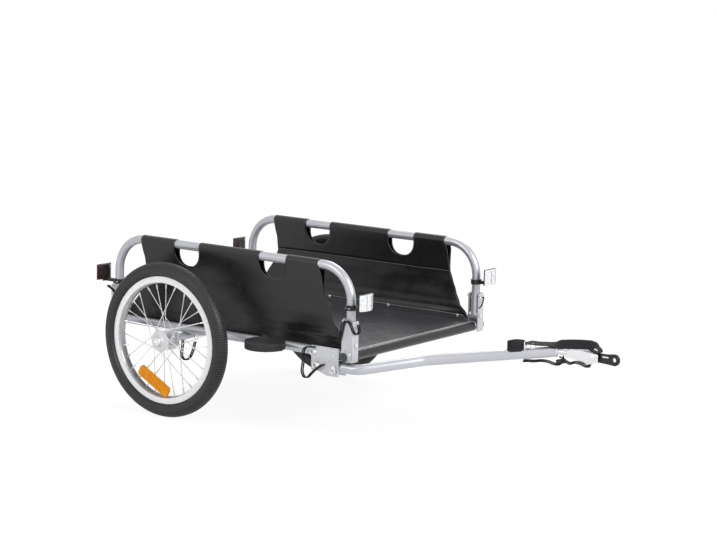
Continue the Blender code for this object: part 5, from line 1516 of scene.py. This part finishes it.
def tyre(side, centre):
    """Casing with a smooth side wall and rows of small tread blocks. The tread between the blocks is painted
    darker as shade, and the block tops lighter as a painted highlight.
    """
    crown = TYRE_RADIUS - TYRE_HALF
    base = TYRE_HALF - 0.0009
    profile = [(0.1525, 0.0100), (0.1590, 0.0101)]
    for angle in TYRE_ANGLES:
        angle = math.radians(angle)
        profile.append((crown + base * math.cos(angle), base * math.sin(angle)))
    profile = mirrored(profile)
    verts = []
    turn = Z_AXIS.rotation_difference(Y_AXIS).to_matrix()
    for step in range(TYRE_STEPS):
        a = 2 * math.pi * (step + (0.32 if step % 2 else 0.0)) / TYRE_STEPS
        for radius, height in profile:
            verts.append(centre + turn @ Vector((radius * math.cos(a), radius * math.sin(a), height)))
    wide = len(profile)
    angles = TYRE_ANGLES + TYRE_ANGLES[::-1]
    raised = []
    for number, pair in enumerate(zip(angles, angles[1:]), 2):
        if (abs(pair[0] - pair[1]) > 10.5 and max(pair) < 67) or max(pair) < 13:
            raised.append(number)
    made = piece(f"{side}_tyre_detailed", verts, bands(TYRE_STEPS, wide, closed=True), TYRE, angle=28.0)

    def raise_blocks(shape):
        shape.faces.ensure_lookup_table()
        chosen = [shape.faces[step * wide + number] for step in range(0, TYRE_STEPS, 2) for number in raised]
        # Painted shade: the tread round the blocks takes the darker rubber. Painted highlight: the block
        # tops take the lighter one.
        for face in shape.faces:
            if (face.calc_center_median() - centre).length > crown + 0.35 * base:
                face.material_index = 2
        for face in chosen:
            face.material_index = 1
        bmesh.ops.inset_individual(shape, faces=chosen, thickness=0.00025, depth=0.0009)

    made.data.materials.append(TREAD_TOP_PAINTED_HIGHLIGHT)
    made.data.materials.append(TREAD_GAP_PAINTED_SHADE)
    reshape(made.data, raise_blocks)
    smoothed(made.data, 28)
    assign(made, f"{side}_wheel", f"{side}_tyre")


def rim(side, centre):
    """Box-section rim with rolled edges."""
    profile = mirrored([(RIM_RADIUS - inwards, RIM_HALF - aside) for inwards, aside in RIM_PROFILE])
    profile.append((RIM_RADIUS - 0.0184, 0.0))
    made = lathe(f"{side}_rim_detailed", profile, centre, Y_AXIS, RIM_WHITE)
    made.data.materials.append(RIM_GREY)
    for polygon in made.data.polygons:
        out = polygon.center - centre
        out.y = 0.0
        if out.length < RIM_RADIUS - 0.0150:
            polygon.material_index = 1
    assign(made, f"{side}_wheel", f"{side}_rim")


def hub_and_spokes(side, centre):
    outer = FLANGE_OFFSET + 0.0015
    inner = FLANGE_OFFSET - 0.0015
    profile = mirrored([
        (0.0053, HUB_HALF), (0.0100, HUB_HALF), (0.0108, HUB_HALF - 0.0008), (0.0125, outer + 0.0030),
        (0.0150, outer + 0.0006), (FLANGE_RADIUS - 0.0006, outer), (FLANGE_RADIUS, outer - 0.0006),
        (FLANGE_RADIUS, inner + 0.0006), (FLANGE_RADIUS - 0.0006, inner), (0.0165, inner - 0.0006),
        (0.0145, inner - 0.0035), (0.0128, 0.0060),
    ])
    made = [lathe("hub", profile, centre, Y_AXIS, HUB_STEEL, 56)]
    pitch = FLANGE_RADIUS - 0.0035
    for number in range(SPOKE_COUNT):
        flange = 1 if number % 2 else -1
        lead = 1 if (number // 2) % 2 else -1
        angle = 2 * math.pi * number / SPOKE_COUNT
        tip = centre + Vector((NIPPLE_RADIUS * math.cos(angle), 0.0, NIPPLE_RADIUS * math.sin(angle)))
        angle += lead * math.radians(SPOKE_SWEEP)
        y = flange * (FLANGE_OFFSET + lead * 0.0026)
        root = centre + Vector((pitch * math.cos(angle), y, pitch * math.sin(angle)))
        along = (tip - root).normalized()
        nipple = [tip - along * back for back in (0.0120, 0.0110, 0.0005)]
        elbow = [root - Y_AXIS * flange * 0.0002, root + Y_AXIS * flange * (-lead) * 0.0052]
        made.append(sweep("spoke", [root, root.lerp(tip, 0.5), tip], round_section(0.0011, 8), SPOKE_STEEL))
        made.append(sweep("nipple", nipple, round_section(0.0021, 8), SPOKE_STEEL))
        made.append(sweep("elbow", elbow, round_section(0.0016, 8), SPOKE_STEEL, X_AXIS))
    joined(f"{side}_hub_detailed", made, f"{side}_wheel", f"{side}_hub_and_spokes")


def spoke_reflector(side, centre):
    """The clip's own shape, its lens trimmed to rounded ends."""
    node = f"{side}_spoke_reflector"
    place = centre + Vector((math.cos(CLIP_PLACE), 0.0, math.sin(CLIP_PLACE))) * CLIP_OUT
    along = Vector((math.cos(CLIP_SLANT), 0.0, -math.sin(CLIP_SLANT)))
    across = Vector((math.sin(CLIP_SLANT), 0.0, math.cos(CLIP_SLANT)))
    ends = []
    for a, b in ((1, 1), (-1, 1), (-1, -1), (1, -1)):
        ends.append((a * CLIP_HALF_LENGTH, b * CLIP_HALF_HEIGHT, CLIP_CORNER))
    trim = slab(rounded_outline(ends, 8), along, across, place + Y_AXIS * 0.05, 0.10, ORANGE_LENS)
    made = copied(node, f"{node}_detailed", ORANGE_LENS)
    cut(made, "INTERSECT", [trim])
    rounded_edges(made, 0.0014, 50)
    apply_modifiers(made)
    smoothed(made.data, 38)
    assign(made, f"{side}_wheel", node)


def axle(side, hand, centre):
    """Smooth axle with its cap, bored for the release pin."""
    outer = HUB_HALF + CLEARANCE
    inner = AXLE_END_Y - WHEEL_Y
    profile = [
        (0.0, outer + 0.0046), (0.0032, outer + 0.0048), (0.0040, outer + 0.0060), (0.0082, outer + 0.0058),
        (0.0096, outer + 0.0044), (0.0100, outer + 0.0030), (0.0100, outer + 0.0006), (0.0094, outer),
        (0.0050, outer), (0.0050, inner + 0.0008), (0.0042, inner), (0.0, inner),
    ]
    made = lathe(f"{side}_axle_detailed", profile, centre, Y_AXIS * hand, ZINC, 40)
    place = bed(WHEEL_X, hand * RELEASE_PIN_Y, AXLE_Z)
    carve(made, bore(place, X_AXIS, 0.02, RELEASE_PIN_RADIUS + CLEARANCE))
    assign(made, "frame", f"{side}_wheel_axle")


def wheel(side, hand):
    centre = bed(WHEEL_X, hand * WHEEL_Y, AXLE_Z)
    axle(side, hand, centre)
    spoke_reflector(side, centre)
    tyre(side, centre)
    rim(side, centre)
    hub_and_spokes(side, centre)


# Cords

TETHER_RADIUS = 0.0018
TETHER_STEP = 0.0036
TOW_BRACKET_REAR = 0.2610
FRONT_LOCK_TETHER = (  # from the lock pin's middle
    (-0.0190, -0.0172, -0.0400), (-0.0148, -0.0172, -0.0270), (-0.0118, -0.0172, -0.0140),
    (-0.0094, -0.0172, -0.0010), (-0.0036, -0.0176, 0.0098), (0.0060, -0.0178, 0.0122),
    (0.0140, -0.0174, 0.0054), (0.0188, -0.0160, -0.0060), (0.0222, -0.0122, -0.0150),
    (0.0246, -0.0046, -0.0176), (0.0246, 0.0030, -0.0130), (0.0222, 0.0058, -0.0046),
    (0.0206, 0.0044, 0.0036),
)
REAR_LOCK_TETHER = (
    (0.0084, -0.0170, -0.0320), (0.0066, -0.0170, -0.0210), (0.0041, -0.0171, -0.0099),
    (-0.0021, -0.0204, 0.0011), (-0.0107, -0.0226, 0.0065), (-0.0191, -0.0188, 0.0082),
    (-0.0219, -0.0123, 0.0079),
)
FAR_LOCK_TETHER = (  # from the front left lock pin's middle
    (0.0192, 0.0020, 0.0010), (0.0250, -0.0010, 0.0020), (0.0290, -0.0080, -0.0020),
    (0.0290, -0.0120, -0.0100), (0.0250, -0.0120, -0.0190), (0.0190, -0.0100, -0.0250),
)
WHEEL_RELEASE_TETHER = (  # from the release pin's middle
    (0.0000, -0.0340, -0.0098), (0.0000, -0.0352, -0.0250), (-0.0004, -0.0372, -0.0390),
    (0.0002, -0.0372, -0.0505), (0.0056, -0.0326, -0.0592), (0.0128, -0.0244, -0.0560),
    (0.0152, -0.0160, -0.0430), (0.0142, -0.0080, -0.0280), (0.0133, -0.0025, -0.0167),
)
BRACKET_TETHER = (  # from the rail's centre at the rear edge of the tow bracket
    (0.0120, -0.0172, 0.0112), (0.0074, -0.0222, 0.0118), (-0.0010, -0.0260, 0.0116),
    (-0.0086, -0.0266, 0.0076), (-0.0132, -0.0260, -0.0004), (-0.0142, -0.0252, -0.0100),
    (-0.0140, -0.0245, -0.0220), (-0.0165, -0.0240, -0.0380), (-0.0172, -0.0240, -0.0510),
    (-0.0110, -0.0240, -0.0620), (0.0000, -0.0245, -0.0616), (0.0104, -0.0262, -0.0520),
    (0.0230, -0.0270, -0.0404), (0.0345, -0.0240, -0.0312), (0.0396, -0.0175, -0.0262),
)
HITCH_TETHER = (  # along the arm's end, to the left of it, and above it, from the tip
    (-0.0806, 0.0000, -0.0152), (-0.0700, 0.0000, -0.0155), (-0.0550, 0.0000, -0.0175),
    (-0.0380, 0.0000, -0.0175), (-0.0220, 0.0000, -0.0210), (-0.0080, 0.0000, -0.0275),
    (0.0050, -0.0020, -0.0280), (0.0140, -0.0045, -0.0200), (0.0140, -0.0062, -0.0100),
)
COUPLER_LANYARD = (  # from the end of the arm
    (0.0340, -0.0150, -0.0150), (0.0460, -0.0152, -0.0185), (0.0580, -0.0152, -0.0140),
    (0.0720, -0.0152, -0.0148), (0.0880, -0.0152, -0.0190), (0.1000, -0.0150, -0.0165),
)
SECOND_STRAND = Vector((-0.0030, -0.0030, 0.0))
HITCH_STRAND = Vector((0.0, -0.0026, -0.0032))


def cord(name, path, body, node=None):
    """A hanging tether with both ends on the trailer."""
    data = bpy.data.curves.new(name, "CURVE")
    data.dimensions = "3D"
    data.bevel_depth = TETHER_RADIUS
    data.bevel_resolution = 4
    data.use_fill_caps = True
    spline = data.splines.new("POLY")
    spline.points.add(len(path) - 1)
    for point, place in zip(spline.points, path):
        point.co = (*place, 1.0)
        point.radius = 1.0
    spline.use_smooth = True
    data.materials.append(CORD)
    made = assign(linked(name, data), body, node)


def doubled(name, path, body, node=None, apart=SECOND_STRAND):
    """A tether of two strands side by side."""
    cord(name, path, body, node)
    cord(f"{name}_second", [point + apart for point in path], body)


def cords():
    def route(place, steps):
        return smooth_route([place + Vector(step) for step in steps], TETHER_STEP)

    for end, steps in (("front", FRONT_LOCK_TETHER), ("rear", REAR_LOCK_TETHER)):
        place = bed(ENDS[end] * HALF_BED, -RAIL_Y, LOCK_PIN_Z)
        doubled(f"{end}_right_tether", route(place, steps), "frame", f"{end}_right_lock_tether")
    place = bed(WHEEL_X, -RELEASE_PIN_Y, AXLE_Z)
    doubled("right_wheel_tether", route(place, WHEEL_RELEASE_TETHER), "frame", "right_wheel_release_tether")
    place = bed(TOW_BRACKET_REAR, -RAIL_Y, RAIL_Z)
    doubled("bracket_tether", route(place, BRACKET_TETHER), "frame", "tow_bracket_tether")
    place = bed(HALF_BED, RAIL_Y, LOCK_PIN_Z)
    cord("front_left_tether", route(place, FAR_LOCK_TETHER), "frame")
    along = (ARM_TIP - ARM_ELBOW).normalized()
    left = Z_AXIS.cross(along).normalized()
    up = along.cross(left)
    tip = bed(*ARM_TIP)
    path = smooth_route([tip + along * a + left * b + up * c for a, b, c in HITCH_TETHER], TETHER_STEP)
    doubled("arm_tether", path, "arm", "hitch_tether", HITCH_STRAND)
    doubled("coupler_lanyard", route(tip, COUPLER_LANYARD), "yoke", apart=HITCH_STRAND)


# Light, floor and camera

CAMERA_PLACE = Vector((3.3013, -4.3207, 1.2149))
CAMERA_AZIMUTH = math.radians(35.788)
CAMERA_ELEVATION = math.radians(9.0725)
CAMERA_ROLL = math.radians(1.42)
FOCAL_PIXELS = 2171.75
IMAGE_WIDTH = 716
SENSOR = 36.0
WHITE = (1.0, 1.0, 1.0, 1.0)
FLOOR_SIZE = 9.0
FLOOR_DROP = 0.0004  # keeps the floor clear of the tyres
LIGHTS = (  # place, target, size and power
    ("key", (3.1, -0.7, 2.3), (0.0, 0.0, 0.25), 1.6, 108.0),
    ("near", (-1.0, -3.0, 1.8), (0.0, 0.0, 0.2), 2.0, 22.0),
    ("back", (-1.0, 2.6, 3.0), (0.0, 0.0, 0.3), 2.4, 48.0),
)


def camera():
    a, e, r = CAMERA_AZIMUTH, CAMERA_ELEVATION, CAMERA_ROLL
    back = Vector((math.sin(a) * math.cos(e), -math.cos(a) * math.cos(e), math.sin(e)))
    level = Vector((math.cos(a), math.sin(a), 0.0))
    upright = back.cross(level)
    right = level * math.cos(r) + upright * math.sin(r)
    up = upright * math.cos(r) - level * math.sin(r)
    data = bpy.data.cameras.new("camera")
    data.sensor_fit = "HORIZONTAL"
    data.sensor_width = SENSOR
    data.lens = FOCAL_PIXELS * SENSOR / IMAGE_WIDTH
    data.clip_end = 50.0
    made = linked("camera", data)
    turn = Matrix((right, up, back)).transposed().to_4x4()
    made.matrix_world = Matrix.Translation(bed(*CAMERA_PLACE)) @ turn
    bpy.context.scene.camera = made


def seen_by(nodes, *rays):
    """1 for the named kinds of ray."""
    path = nodes.add("LightPath")
    share = path.outputs[f"Is {rays[0]} Ray"]
    for ray in rays[1:]:
        share = nodes.math("MAXIMUM", share, path.outputs[f"Is {ray} Ray"])
    return share


def white_world():
    """White behind the trailer, and a weaker light from all round it."""
    world = bpy.data.worlds.new("studio")
    bpy.context.scene.world = world
    nodes = Nodes(world, empty=True)
    lit = nodes.add("Background", Color=WHITE, Strength=0.42)
    seen = nodes.add("Background", Color=WHITE, Strength=1.0)
    share = seen_by(nodes, "Camera", "Glossy", "Transmission")
    nodes.blend(share, lit, seen, nodes.add("OutputWorld"))


def white_floor():
    """A floor that is white to the camera and matt to the light, with a soft shade under the trailer."""
    data = bpy.data.meshes.new("floor")
    corners = [(x * FLOOR_SIZE, y * FLOOR_SIZE, 0.0) for x, y in ((-1, -1), (1, -1), (1, 1), (-1, 1))]
    data.from_pydata(corners, [], [(0, 1, 2, 3)])
    made = linked("floor", data)
    made.location = (0.0, 0.0, -FLOOR_DROP)
    nodes = Nodes(bpy.data.materials.new("floor_white"), empty=True)
    matt = nodes.add("BsdfDiffuse", Color=(0.90, 0.90, 0.90, 1.0))
    glow = nodes.add("Emission", Strength=1.06)
    away = nodes.add("VectorMath", operation="LENGTH")
    nodes.join(nodes.coordinates(), away)
    fade = nodes.ramp(away.outputs["Value"], 0.86, 1.0, 0.55, 1.35)
    share = nodes.math("MULTIPLY", seen_by(nodes, "Camera", "Glossy"), fade)
    nodes.blend(share, matt, glow, nodes.add("OutputMaterial"))
    data.materials.append(nodes.owner)


def area_light(name, place, target, size, power):
    data = bpy.data.lights.new(name, "AREA")
    data.shape = "DISK"
    data.size = size
    data.energy = power
    made = linked(name, data)
    made.location = place
    made.rotation_euler = (Vector(target) - Vector(place)).to_track_quat("-Z", "Y").to_euler()


dress_solids()
camera()
cords()
frame_tubes()
arm()
pins()
hitch_parts()
strap()
tow_bracket()
worn("axle_beam", SILVER, "frame", 0.0004)
for END in ENDS:
    for SIDE in SIDES:
        fold_bracket(END, SIDE)
        tube_plug(END, SIDE)
        reflector(END, SIDE)
FLOOR_SHEET = floor_sheet()
FLOOR_SEAMS_AND_HIGHLIGHTS = [floor_end_highlight(END) for END in ENDS]
for SIDE, HAND in SIDES.items():
    SHEET, AREA = side_sheet(SIDE, HAND)
    SEAM, SLEEVE_SEAM_HIGHLIGHT = seams(SIDE, HAND)
    FLOOR_SEAMS_AND_HIGHLIGHTS.append(SEAM)
    hoop(SIDE, HAND)
    roller(SIDE, HAND)
    wheel(SIDE, HAND)
white_world()
white_floor()
for LIGHT in LIGHTS:
    area_light(*LIGHT)

bpy.context.scene.view_settings.view_transform = "Standard"
